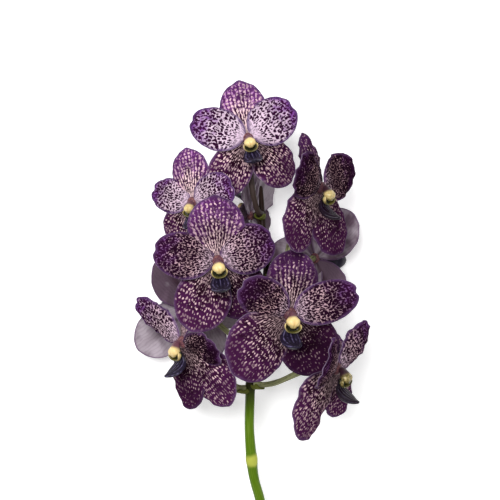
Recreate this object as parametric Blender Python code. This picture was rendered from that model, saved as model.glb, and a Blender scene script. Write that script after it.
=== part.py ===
"""Cut vanda orchid: one flowering stem with ten blooms, lying on its back.

Metres, +Z up. The stem runs along Y with its cut end towards -Y. Seven blooms look up and
outwards. The three at the back look down and sideways, and their lips and columns rest with
the cut end on the surface, z = 0. The origin is the middle of the underside of the whole
stem's box.
"""

import math
from collections import namedtuple

import bmesh
import bpy
from mathutils import Matrix, Vector

MM = 0.001

# What a stalk leaves free at the stem and behind the hub.
STALK_GAP = 0.5 * MM

# One blade of a bloom, in its own plane. Lengths are in millimetres and angles in degrees.
# turn is counted from the upright sepal, leftwards; sweep tips the whole blade forward, bend
# curves it forward along its length and curl curves its two sides forward; twist turns it
# about its own midrib. claw is half the width at the root, round_end is the share of the
# length that the rounded end takes, and flare is how soon the blade reaches its full width (a
# small number is soon). lift moves the root forward on the hub, and notch is the depth of the
# small dip in the middle of the end.
Blade = namedtuple(
    "Blade", "turn length half_width claw round_end flare sweep bend curl twist lift notch"
)

BLADES = {
    "dorsal": Blade(0, 42.5, 18, 3.0, 0.50, 0.90, -4, -6, -14, 0, -0.8, 0),
    "petal_left": Blade(72, 41.5, 17.5, 2.6, 0.52, 0.62, 4, -8, -16, 0, 1.4, 1.2),
    "petal_right": Blade(-72, 41.5, 17.5, 2.6, 0.52, 0.62, 4, -8, -16, 0, 1.4, 1.2),
    "sepal_left": Blade(147, 49.5, 20.5, 3.0, 0.48, 0.80, -4, -4, -12, 0, -0.8, 0),
    "sepal_right": Blade(-147, 49.5, 20.5, 3.0, 0.48, 0.80, -4, -4, -12, 0, -0.8, 0),
}
BLADE_THICKNESS = 0.9 * MM
BLADE_ROOT = 3.0 * MM
NOTCH_WIDTH = 0.16

# The two edges of a blade wave up and down by this much, this often, and out of step.
RUFFLE = 1.1 * MM
RUFFLE_WAVES = 1.6
RUFFLE_OFFSET = 1.7

# Steps along and across a blade; blooms whose hearts are lower than this take the fewer ones.
STEPS = (5, 6)
LOW_STEPS = (4, 4)
LOW_HEART = 40

# A bloom: where its heart lies (mm), where it faces, and its size against a full-grown one.
# yaw turns the face to +X and pitch turns it to +Y, from looking straight up; roll leans the
# upright sepal towards -X. node is how far up the stem its stalk leaves, in mm, and changes
# are added to the blades' own values above.
Bloom = namedtuple("Bloom", "heart yaw pitch roll size node changes")

BLOOMS = {
    "01": Bloom((-1.8, 145.2, 78), 3, 6, 11, 0.90, 286, {
        "dorsal": {"turn": -3, "half_width": 1, "length": 2},
        "petal_left": {"turn": -11, "length": 3},
        "petal_right": {"turn": 8, "half_width": 2},
        "sepal_left": {"turn": -6, "length": -1, "half_width": -3, "sweep": -6, "twist": -6},
        "sepal_right": {"turn": 17, "sweep": -11, "twist": -18, "bend": -11},
    }),
    "02": Bloom((-41.0, 101.0, 69.5), -22, -4, 6, 0.84, 236, {
        "dorsal": {"turn": 3, "bend": 2},
        "petal_left": {"turn": -5, "half_width": -2, "sweep": -8, "twist": 8, "bend": -4},
        "petal_right": {"turn": -3, "length": -2, "sweep": 9, "twist": 3},
        "sepal_left": {"turn": 4, "length": -3, "half_width": -1, "sweep": -14, "twist": -18, "bend": -6},
    }),
    "03": Bloom((48.7, 110.8, 80), 49, -5, -1, 0.97, 244, {
        "dorsal": {"turn": 1, "length": -3, "half_width": -7, "sweep": -21, "bend": 3},
        "petal_left": {"turn": -2, "sweep": 13, "twist": -3, "bend": 4},
        "petal_right": {"turn": 3, "half_width": 1, "sweep": 2, "twist": 3, "bend": -3},
        "sepal_left": {"turn": -2, "length": 1, "sweep": 9, "bend": 2},
        "sepal_right": {"length": 2, "sweep": 6, "twist": -3, "bend": 3},
    }),
    "04": Bloom((-22.6, 59.7, 90), 2, 2, 6, 0.99, 215, {
        "dorsal": {"turn": -3, "half_width": 3, "sweep": 10},
        "petal_left": {"turn": 1, "length": 2, "twist": 6},
        "petal_right": {"length": -1, "half_width": 1, "sweep": -4, "bend": -2},
        "sepal_left": {"turn": 4, "sweep": 1, "twist": 6, "bend": -2},
        "sepal_right": {"length": -2, "sweep": -10, "twist": -3, "bend": -5},
    }),
    "05": Bloom((27.1, 23.6, 97), 15, 0, -6, 1.06, 178, {
        "dorsal": {"turn": -3, "length": -2, "sweep": -5, "twist": -3},
        "petal_left": {"turn": -7, "length": -3, "half_width": -3, "sweep": 14, "twist": -15},
        "petal_right": {"turn": 6, "length": 3, "half_width": -3, "sweep": 9, "twist": -5},
        "sepal_left": {"turn": -9, "length": 2, "half_width": 2, "sweep": 15, "twist": -9},
        "sepal_right": {"turn": 7, "length": -8, "half_width": 0.5, "flare": -0.15, "sweep": 6, "twist": 4},
    }),
    "06": Bloom((-48.2, 3.0, 66), -50, -11, 0, 1.0, 160, {
        "dorsal": {"turn": 6, "length": -9, "half_width": -2, "sweep": -10, "twist": -20},
        "petal_left": {"turn": -19, "length": 6, "half_width": -4.5, "sweep": 6, "twist": -4, "bend": 4},
        "petal_right": {"turn": -34, "length": -5, "half_width": -4, "sweep": -5, "twist": 18, "bend": 2},
        "sepal_left": {"turn": 18, "half_width": -2.5, "flare": -0.12, "bend": 2},
        "sepal_right": {"turn": -1, "length": 3, "half_width": 1, "sweep": -5, "twist": -4},
    }),
    "07": Bloom((59.5, -14.6, 84), 55, -9, 8, 1.0, 164, {
        "dorsal": {"turn": 12, "length": -9, "half_width": -6, "sweep": -52, "twist": -40},
        "petal_left": {"turn": -6, "half_width": 2, "sweep": 20, "twist": -3, "bend": 4},
        "petal_right": {"turn": 20, "half_width": -4.5, "sweep": 12, "bend": -6},
        "sepal_left": {"turn": -6, "length": 3.5, "half_width": 5, "sweep": 3, "twist": -6},
        "sepal_right": {"turn": -1, "length": -1, "half_width": -5.5, "sweep": -5, "twist": 13},
    }),
    "08": Bloom((-41.5, 26.4, 9.7), -158, 0, 90, 0.95, 190, {
        "dorsal": {"sweep": -20},
        "petal_left": {"sweep": -10},
        "petal_right": {"sweep": -10},
        "sepal_left": {"turn": -3, "length": 3, "sweep": 14},
        "sepal_right": {"turn": 17, "length": -3},
    }),
    "09": Bloom((47.5, 61.5, 8.2), 154, 0, 275, 0.86, 205, {
        "dorsal": {"length": -6, "sweep": -20},
        "petal_left": {"sweep": -10},
        "petal_right": {"sweep": -10},
        "sepal_left": {"turn": -18, "half_width": 1.5, "sweep": 6},
        "sepal_right": {"turn": 24, "length": -4},
    }),
    "10": Bloom((-0.6, 92.5, 31.4), -114, 0, 180, 0.8, 268, {}),
}

# The stem's middle line, from the cut end to the tip, as x, y, z and radius in millimetres.
STEM_POINTS = (
    (12.7, -185.2, 3.6, 3.7),
    (14.1, -160.4, 10, 3.6),
    (11.1, -135.7, 17, 3.6),
    (6.7, -114.3, 23, 3.5),
    (2.3, -97.6, 28, 3.5),
    (0.5, -83.3, 32, 3.9),
    (-1.0, -61.8, 37, 3.4),
    (-0.6, -39.9, 41, 3.4),
    (0.1, -25.4, 43, 3.4),
    (3.7, -0.2, 45, 3.1),
    (9.3, 28.3, 47, 2.8),
    (11.5, 54.9, 48, 2.6),
    (9.3, 74.8, 48, 2.3),
    (8.1, 90.5, 48, 2.1),
    (7.5, 103.2, 49, 1.8),
    (7.2, 113.2, 51, 1.2),
)
STEM_SIDES = 10
STEM_RINGS = 20
STEM_SAMPLES = 400
PATH_STEPS = 12

# The hub that a bloom's blades grow from, back to front: distance forward and radius, in mm.
HUB = ((-3.2, 2.6), (-1.6, 4.4), (1.0, 4.4), (2.6, 2.4))
HUB_SIDES = 8
COLUMN_SIDES = 8
LIP_SIDES = 8

# The column and the lip lie in the bloom's own YZ plane: y up, z forward, half width and half
# thickness, in mm, from root to tip.
COLUMN = (
    (0.0, 3.5, 2.2, 2.2),
    (-0.5, 5.2, 2.7, 2.6),
    (-2.9, 6.9, 4.4, 3.6),
    (-4.7, 8.1, 5.0, 4.1),
    (-6.5, 8.9, 4.2, 3.5),
    (-8.0, 9.3, 2.2, 1.8),
)

# The side lobes ring the throat: the ring's middle as y and z, its two radii, its thickness,
# and the angles from which and through which it runs.
THROAT_CENTRE = (-7.6, 7.5)
THROAT_RADII = (5.1, 3.7)
THROAT_THICKNESS = 1.1
THROAT_START = 150
THROAT_SWEEP = 240
THROAT_STEPS = 5
THROAT_SIDES = 5

LIP = (
    (-6.2, 3.4, 2.2, 0.7),
    (-9.5, 3.6, 4.4, 0.9),
    (-13.2, 4.0, 6.2, 1.2),
    (-16.6, 6.8, 7.3, 2.1),
    (-18.9, 10.6, 6.7, 2.4),
    (-20.1, 14.8, 4.4, 1.9),
    (-20.1, 18.6, 1.8, 1.1),
)

STALK_SIDES = 6
STALK_RINGS = 9
STALK_RADII = (1.5, 1.35, 1.4, 1.6, 2.0, 2.1, 1.8)

# The stalk leaves the stem squarely and meets the hub squarely; these shares of its span say
# for how far it holds each direction.
STALK_PULL_OUT = 0.35
STALK_PULL_IN = 0.38

# The bract under each stalk, how far below the stalk's edge it sits and how deep it is rooted.
BRACT = Blade(0, 7.0, 3.0, 2.4, 0.6, 0.8, 10, 0, 24, 0, 0, 0)
BRACT_STEPS = (2, 2)
BRACT_DROP = 1.9
BRACT_ROOT = 4.2

COLOURS = {
    "blades": ((0.075, 0.022, 0.085), 0.5),
    "lip": ((0.030, 0.018, 0.060), 0.4),
    "column": ((0.86, 0.72, 0.38), 0.45),
    "stalk": ((0.24, 0.22, 0.13), 0.5),
    "stem": ((0.11, 0.20, 0.03), 0.45),
}


def rotation_of(bloom):
    """The bloom's turn: its own +Z is its face, and its own +Y its upright sepal."""
    yaw = Matrix.Rotation(math.radians(bloom.yaw), 3, "Y")
    pitch = Matrix.Rotation(math.radians(-bloom.pitch), 3, "X")
    roll = Matrix.Rotation(math.radians(bloom.roll), 3, "Z")
    return yaw @ pitch @ roll


def blade_point(blade, along, across):
    """A point of the blade's middle surface, in metres: x to its side, y outwards, z forward."""
    flare = math.sin(math.pi / 2 * along**blade.flare)
    half = (blade.claw + (blade.half_width - blade.claw) * flare) * MM
    end = 1 - blade.round_end * (1 - math.sqrt(max(0.0, 1 - across * across)))
    dip = blade.notch * MM * math.exp(-((across / NOTCH_WIDTH) ** 2)) * along**6
    reach = blade.length * MM * along * end - dip
    share = reach / (blade.length * MM)

    curl = math.radians(blade.curl) * 2
    side = half * math.sin(curl * across) / curl if abs(curl) > 1e-4 else half * across
    rise = half * (1 - math.cos(curl * across)) / curl if abs(curl) > 1e-4 else 0.0

    start = math.radians(blade.sweep)
    turned = math.radians(blade.bend) * 2 * share
    if abs(turned) > 1e-4:
        radius = reach / turned
        y = radius * (math.sin(start + turned) - math.sin(start))
        z = radius * (math.cos(start) - math.cos(start + turned))
    else:
        y = reach * math.cos(start)
        z = reach * math.sin(start)
    angle = start + turned
    phase = 2 * math.pi * RUFFLE_WAVES * share + (0.0 if across < 0 else RUFFLE_OFFSET)
    rise += RUFFLE * across * across * math.sin(math.pi * share) * math.sin(phase)
    return Vector((side, y - rise * math.sin(angle), z + rise * math.cos(angle)))


def material(kind):
    """The Principled BSDF of one kind of sub-part."""
    name = "vanda_" + kind
    if name in bpy.data.materials:
        return bpy.data.materials[name]
    colour, roughness = COLOURS[kind]
    made = bpy.data.materials.new(name)
    made.use_nodes = True
    shader = made.node_tree.nodes["Principled BSDF"]
    shader.inputs["Base Color"].default_value = (*colour, 1.0)
    shader.inputs["Roughness"].default_value = roughness
    shader.inputs["Metallic"].default_value = 0.0
    return made


def add_object(name, points, faces, kind, parent=None):
    """A mesh object from points in metres, in its parent's frame."""
    mesh = bpy.data.meshes.new(name)
    mesh.from_pydata(points, [], faces)
    mesh.materials.append(material(kind))
    mesh.shade_smooth()
    made = bpy.data.objects.new(name, mesh)
    made.parent = parent
    bpy.context.scene.collection.objects.link(made)
    return made


def sweep(rings):
    """Points and faces of a closed body through rings that all have as many points."""
    points = [point for ring in rings for point in ring]
    count = len(rings[0])
    faces = []
    for first in range(0, count * (len(rings) - 1), count):
        for side in range(count):
            after = (side + 1) % count
            faces.append((first + side, first + after, first + count + after, first + count + side))
    faces.append(tuple(reversed(range(count))))
    faces.append(tuple(range(count * (len(rings) - 1), count * len(rings))))
    return points, faces


def tube_rings(path, radii, sides):
    """Circles of these radii across a path, turned as little as possible from one to the next."""
    rings = []
    side = None
    for place, radius in enumerate(radii):
        ahead = path[min(place + 1, len(path) - 1)]
        behind = path[max(place - 1, 0)]
        along = (ahead - behind).normalized()
        if side is None:
            side = along.orthogonal().normalized()
        side = (side - along * side.dot(along)).normalized()
        up = along.cross(side)
        turns = (2 * math.pi * step / sides for step in range(sides))
        rings.append([path[place] + (side * math.cos(a) + up * math.sin(a)) * radius for a in turns])
    return rings


def smooth_path(points, count):
    """Evenly spread points on a smooth curve through these (Catmull-Rom), with its lengths."""
    dense = []
    for first in range(len(points) - 1):
        before = points[max(first - 1, 0)]
        start, end = points[first], points[first + 1]
        after = points[min(first + 2, len(points) - 1)]
        for step in range(PATH_STEPS):
            t = step / PATH_STEPS
            dense.append(
                0.5
                * (
                    2 * start
                    + (end - before) * t
                    + (2 * before - 5 * start + 4 * end - after) * t**2
                    + (3 * start - before - 3 * end + after) * t**3
                )
            )
    dense.append(points[-1])
    lengths = [0.0]
    for first, second in zip(dense, dense[1:]):
        lengths.append(lengths[-1] + (second - first).xyz.length)
    spread = []
    place = 0
    for step in range(count):
        wanted = lengths[-1] * step / (count - 1)
        while place < len(dense) - 2 and lengths[place + 1] < wanted:
            place += 1
        share = (wanted - lengths[place]) / (lengths[place + 1] - lengths[place])
        spread.append(dense[place].lerp(dense[place + 1], min(1.0, share)))
    return spread, lengths[-1]


def stem_line(count):
    """Points (x, y, z, radius, in metres) along the stem, and its length."""
    points = [Vector(point) * MM for point in STEM_POINTS]
    return smooth_path(points, count)


def stem_at(distance):
    """The stem's middle point, its direction and its radius at this many mm from the cut end."""
    line, length = stem_line(STEM_SAMPLES)
    place = distance * MM / length * (len(line) - 1)
    low = min(int(place), len(line) - 2)
    here = line[low].lerp(line[low + 1], place - low)
    along = (line[low + 1] - line[low]).xyz.normalized()
    return here.xyz, along, here.w


def blade_grid(blade, steps_along, steps_across):
    """Points and triangles of a blade's middle surface, in metres, in its bloom's frame."""
    twist = Matrix.Rotation(math.radians(blade.twist), 3, "Y")
    turn = Matrix.Rotation(math.radians(blade.turn), 3, "Z")
    root = Vector((0, BLADE_ROOT, blade.lift * MM))
    points = []
    for row in range(steps_along + 1):
        for column in range(steps_across + 1):
            across = math.sin(math.pi * (column / steps_across - 0.5))
            point = blade_point(blade, row / steps_along, across)
            points.append(turn @ (twist @ point + root))
    faces = []
    width = steps_across + 1
    for row in range(steps_along):
        for column in range(steps_across):
            a = row * width + column
            b, c, d = a + 1, a + width + 1, a + width
            if column < steps_across // 2:
                faces += [(a, b, c), (a, c, d)]
            else:
                faces += [(a, b, d), (b, c, d)]
    return points, faces


def solidify(made, thickness):
    modifier = made.modifiers.new("thickness", "SOLIDIFY")
    modifier.thickness = thickness
    modifier.offset = 0.0
    return made


def drop_specks(mesh):
    """Keeps the largest body of a mesh, without the specks that a union can leave beside it."""
    body = bmesh.new()
    body.from_mesh(mesh)
    left = set(body.faces)
    islands = []
    while left:
        found = {left.pop()}
        reached = list(found)
        while reached:
            face = reached.pop()
            for edge in face.edges:
                for other in edge.link_faces:
                    if other in left and len(edge.link_faces) == 2:
                        left.remove(other)
                        found.add(other)
                        reached.append(other)
        islands.append(found)
    islands.sort(key=len)
    for island in islands[:-1]:
        bmesh.ops.delete(body, geom=list(island), context="FACES")
    body.to_mesh(mesh)
    body.free()


def fuse(body, others):
    """One closed body of an object and others, by a Boolean union that is applied."""
    group = bpy.data.collections.new("fused")
    bpy.context.scene.collection.children.link(group)
    for other in others:
        bpy.context.scene.collection.objects.unlink(other)
        group.objects.link(other)
    union = body.modifiers.new("union", "BOOLEAN")
    union.operation = "UNION"
    union.operand_type = "COLLECTION"
    union.collection = group
    union.solver = "EXACT"
    bpy.context.view_layer.update()
    graph = bpy.context.evaluated_depsgraph_get()
    fused = bpy.data.meshes.new_from_object(body.evaluated_get(graph))
    drop_specks(fused)
    body.modifiers.clear()
    body.data = fused
    for other in others:
        bpy.data.objects.remove(other)
    bpy.data.collections.remove(group)
    return body


def changed(blade, change):
    """The blade with the bloom's own changes added to its values."""
    return blade._replace(**{key: getattr(blade, key) + value for key, value in change.items()})


def bloom_frame(key, bloom):
    """An empty at the bloom's heart, facing as the bloom does."""
    frame = bpy.data.objects.new("bloom_" + key, None)
    frame.location = Vector(bloom.heart) * MM
    frame.rotation_euler = rotation_of(bloom).to_euler()
    bpy.context.scene.collection.objects.link(frame)
    return frame


def make_blades(key, bloom, frame):
    """The hub with the three sepals and two petals that grow from it, as one body."""
    rings = []
    for forward, radius in HUB:
        turns = (2 * math.pi * step / HUB_SIDES for step in range(HUB_SIDES))
        ring = [Vector((math.cos(a) * radius, math.sin(a) * radius, forward)) for a in turns]
        rings.append([point * MM * bloom.size for point in ring])
    hub = add_object(f"bloom_{key}_blades", *sweep(rings), "blades", frame)
    steps = LOW_STEPS if bloom.heart[2] < LOW_HEART else STEPS
    blades = []
    for name, blade in BLADES.items():
        own = changed(blade, bloom.changes.get(name, {}))
        points, faces = blade_grid(own, *steps)
        scaled = [point * bloom.size for point in points]
        made = add_object(f"{key}_{name}", scaled, faces, "blades", frame)
        blades.append(solidify(made, BLADE_THICKNESS))
    return fuse(hub, blades)


def profile_rings(stations, sides, size):
    """Elliptic rings square to a profile that lies in the bloom's YZ plane."""
    rings = []
    for place, (y, z, half_width, half_height) in enumerate(stations):
        ahead = stations[min(place + 1, len(stations) - 1)]
        behind = stations[max(place - 1, 0)]
        along = Vector((0, ahead[0] - behind[0], ahead[1] - behind[1])).normalized()
        up = along.cross(Vector((1, 0, 0)))
        ring = []
        for step in range(sides):
            turn = 2 * math.pi * step / sides
            offset = Vector((math.cos(turn) * half_width, 0, 0)) + up * math.sin(turn) * half_height
            ring.append((Vector((0, y, z)) + offset) * MM * size)
        rings.append(ring)
    return rings


def facing_out(points, faces):
    """The same closed body with every face pointing out."""
    body = bmesh.new()
    made = [body.verts.new(point) for point in points]
    for face in faces:
        body.faces.new([made[index] for index in face])
    bmesh.ops.recalc_face_normals(body, faces=body.faces)
    bmesh.ops.triangulate(body, faces=body.faces)
    body.verts.index_update()
    triangles = [tuple(vert.index for vert in face.verts) for face in body.faces]
    if body.calc_volume(signed=True) < 0:
        triangles = [triangle[::-1] for triangle in triangles]
    points = [vert.co.copy() for vert in body.verts]
    body.free()
    return points, triangles


def make_column(key, bloom, frame):
    """The cream column with the two side lobes that ring the throat under it."""
    rings = profile_rings(COLUMN, COLUMN_SIDES, bloom.size)
    column = add_object(f"bloom_{key}_column", *facing_out(*sweep(rings)), "column", frame)
    path = []
    for step in range(THROAT_STEPS + 1):
        turn = math.radians(THROAT_START + THROAT_SWEEP * step / THROAT_STEPS)
        y, z = THROAT_CENTRE
        place = Vector((math.cos(turn) * THROAT_RADII[0], y + math.sin(turn) * THROAT_RADII[1], z))
        path.append(place * MM * bloom.size)
    radii = [THROAT_THICKNESS * MM * bloom.size] * len(path)
    rings = tube_rings(path, radii, THROAT_SIDES)
    lobes = add_object(f"{key}_side_lobes", *facing_out(*sweep(rings)), "column", frame)
    return fuse(column, [lobes])


def make_lip(key, bloom, frame):
    """The dark tongue of the bloom's lip."""
    rings = profile_rings(LIP, LIP_SIDES, bloom.size)
    return add_object(f"bloom_{key}_lip", *facing_out(*sweep(rings)), "lip", frame)


def stalk_path(bloom):
    """The stalk's middle line, from the stem's side to just behind the bloom's hub."""
    turn = rotation_of(bloom)
    face = turn @ Vector((0, 0, 1))
    end = (Vector(bloom.heart) + face * HUB[0][0] * bloom.size) * MM - face * STALK_GAP
    centre, along, radius = stem_at(bloom.node)
    out = end - centre
    out = (out - along * out.dot(along)).normalized()
    start = centre + out * (radius + STALK_GAP)
    pull = (end - start).length
    first = start + out * pull * STALK_PULL_OUT
    second = end - face * pull * STALK_PULL_IN
    path = []
    for step in range(STALK_RINGS):
        t = step / (STALK_RINGS - 1)
        near, far = start.lerp(first, t), second.lerp(end, t)
        middle = first.lerp(second, t)
        path.append(near.lerp(middle, t).lerp(middle.lerp(far, t), t))
    return path


def radius_along(radii, share):
    place = share * (len(radii) - 1)
    low = min(int(place), len(radii) - 2)
    return radii[low] + (radii[low + 1] - radii[low]) * (place - low)


def make_stalk(key, bloom):
    """The ovary and stalk of one bloom."""
    path = stalk_path(bloom)
    radii = [radius_along(STALK_RADII, n / (len(path) - 1)) * MM for n in range(len(path))]
    rings = tube_rings(path, radii, STALK_SIDES)
    return add_object(f"bloom_{key}_stalk", *facing_out(*sweep(rings)), "stalk")


def make_bract(key, bloom):
    """The small pointed bract under one stalk, rooted in the stem."""
    path = stalk_path(bloom)
    centre, along, radius = stem_at(bloom.node)
    out = (path[0] - centre).normalized()
    seat = centre - along * (STALK_RADII[0] + BRACT_DROP) * MM + out * (radius - BRACT_ROOT * MM)
    side = along.cross(out)
    axes = Matrix((-side, out, along)).transposed()
    points, faces = blade_grid(BRACT, *BRACT_STEPS)
    placed = [seat + axes @ point for point in points]
    return solidify(add_object(f"{key}_bract", placed, faces, "stem"), BLADE_THICKNESS)


def make_stem():
    """The stem with a bract at every stalk, as one body."""
    line, _ = stem_line(STEM_RINGS)
    rings = tube_rings([point.xyz for point in line], [point.w for point in line], STEM_SIDES)
    stem = add_object("stem", *facing_out(*sweep(rings)), "stem")
    bracts = [make_bract(key, bloom) for key, bloom in BLOOMS.items()]
    return fuse(stem, bracts)


def main():
    for old in list(bpy.data.objects):
        bpy.data.objects.remove(old)
    make_stem()
    for key, bloom in BLOOMS.items():
        frame = bloom_frame(key, bloom)
        make_blades(key, bloom, frame)
        make_column(key, bloom, frame)
        make_lip(key, bloom, frame)
        make_stalk(key, bloom)


main()
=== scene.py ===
"""Cut vanda orchid: the looks of the ten blooms, their stalks and the stem, on a pale floor.

Everything is in metres in the part's own frame: +Z up, the stem along Y, its cut end at -Y.
Each piece repeats the named values of the solid that it stands for, with finer steps and the
small relief that the solids leave out.
"""

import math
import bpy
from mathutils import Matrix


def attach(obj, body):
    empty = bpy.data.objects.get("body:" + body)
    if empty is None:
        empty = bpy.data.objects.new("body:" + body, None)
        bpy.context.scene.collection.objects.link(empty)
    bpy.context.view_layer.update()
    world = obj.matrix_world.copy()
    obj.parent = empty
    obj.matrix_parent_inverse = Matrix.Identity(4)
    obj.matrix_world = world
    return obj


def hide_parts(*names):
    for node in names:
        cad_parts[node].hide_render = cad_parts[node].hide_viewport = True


bl_info = {
    "name": "Cut vanda orchid",
    "version": (1, 0, 0),
    "blender": (4, 5, 0),
    "location": "View3D > Sidebar > Orchid",
    "description": "Dresses the solids of a cut vanda orchid with petals, lips, stalks and stem",
    "category": "Object",
}

from collections import namedtuple
from functools import partial

import bpy
import numpy as np
from bpy.props import FloatProperty, FloatVectorProperty, IntProperty, PointerProperty
from mathutils import Matrix, Vector

MM = 0.001
# A full turn, in radians.
TURN = 2 * math.pi

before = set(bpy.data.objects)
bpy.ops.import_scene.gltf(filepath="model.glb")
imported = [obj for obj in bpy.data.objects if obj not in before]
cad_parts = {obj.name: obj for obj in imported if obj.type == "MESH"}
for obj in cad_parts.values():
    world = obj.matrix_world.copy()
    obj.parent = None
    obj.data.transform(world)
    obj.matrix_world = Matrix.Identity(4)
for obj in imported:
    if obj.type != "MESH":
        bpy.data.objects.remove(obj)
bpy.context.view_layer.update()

# One blade of a bloom, in its own plane. Lengths are in millimetres and angles in degrees.
# turn is counted from the upright sepal, leftwards; sweep tips the whole blade forward, bend
# curves it forward along its length and curl curves its two sides forward; twist turns it
# about its own midrib. claw is half the width at the root, round_end is the share of the
# length that the rounded end takes, and flare is how soon the blade reaches its full width (a
# small number is soon). lift moves the root forward on the hub. notch is the depth of the
# small dip in the end, or of a point where it is negative.
Blade = namedtuple(
    "Blade", "turn length half_width claw round_end flare sweep bend curl twist lift notch"
)

BLADES = {
    "dorsal": Blade(0, 42.5, 18, 3.0, 0.50, 0.90, -4, -6, -14, 0, -0.8, 0),
    "petal_left": Blade(72, 41.5, 17.5, 2.6, 0.52, 0.62, 4, -8, -16, 0, 1.4, 1.2),
    "petal_right": Blade(-72, 41.5, 17.5, 2.6, 0.52, 0.62, 4, -8, -16, 0, 1.4, 1.2),
    "sepal_left": Blade(147, 49.5, 20.5, 3.0, 0.48, 0.80, -4, -4, -12, 0, -0.8, 0),
    "sepal_right": Blade(-147, 49.5, 20.5, 3.0, 0.48, 0.80, -4, -4, -12, 0, -0.8, 0),
}
BLADE_ROOT = 3.0

# What the finer blades add to the solids' values: a deeper dip in each petal's end and a small
# point on each sepal's.
FINE_ENDS = {
    "dorsal": {"notch": -1.4},
    "petal_left": {"notch": 0.7},
    "petal_right": {"notch": 0.7},
    "sepal_left": {"notch": -0.7},
    "sepal_right": {"notch": -0.7},
}
NOTCH_WIDTH = 0.16

# The two edges of a blade wave up and down, this often, and out of step.
RUFFLE = 1.1
RUFFLE_WAVES = 1.6
RUFFLE_OFFSET = 1.7

# The frill's waves round the rim, the half width of the midrib's groove in mm, the veins'
# swellings across a blade, the slight unevenness of a whole blade in mm, and how far from the
# rim, in mm, a blade is still thinner than in its middle.
FRILL_WAVES = (9, 17)
MIDRIB_WIDTH = 1.1
VEIN_WAVES = 4
UNEVENNESS = 0.35
THIN_WIDTH = 4.0

# A bloom: where its heart lies (mm), where it faces, and its size against a full-grown one.
# yaw turns the face to +X and pitch turns it to +Y, from looking straight up; roll leans the
# upright sepal towards -X. node is how far up the stem its stalk leaves, in mm, and changes
# are added to the blades' own values above.
Bloom = namedtuple("Bloom", "heart yaw pitch roll size node changes")

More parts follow.
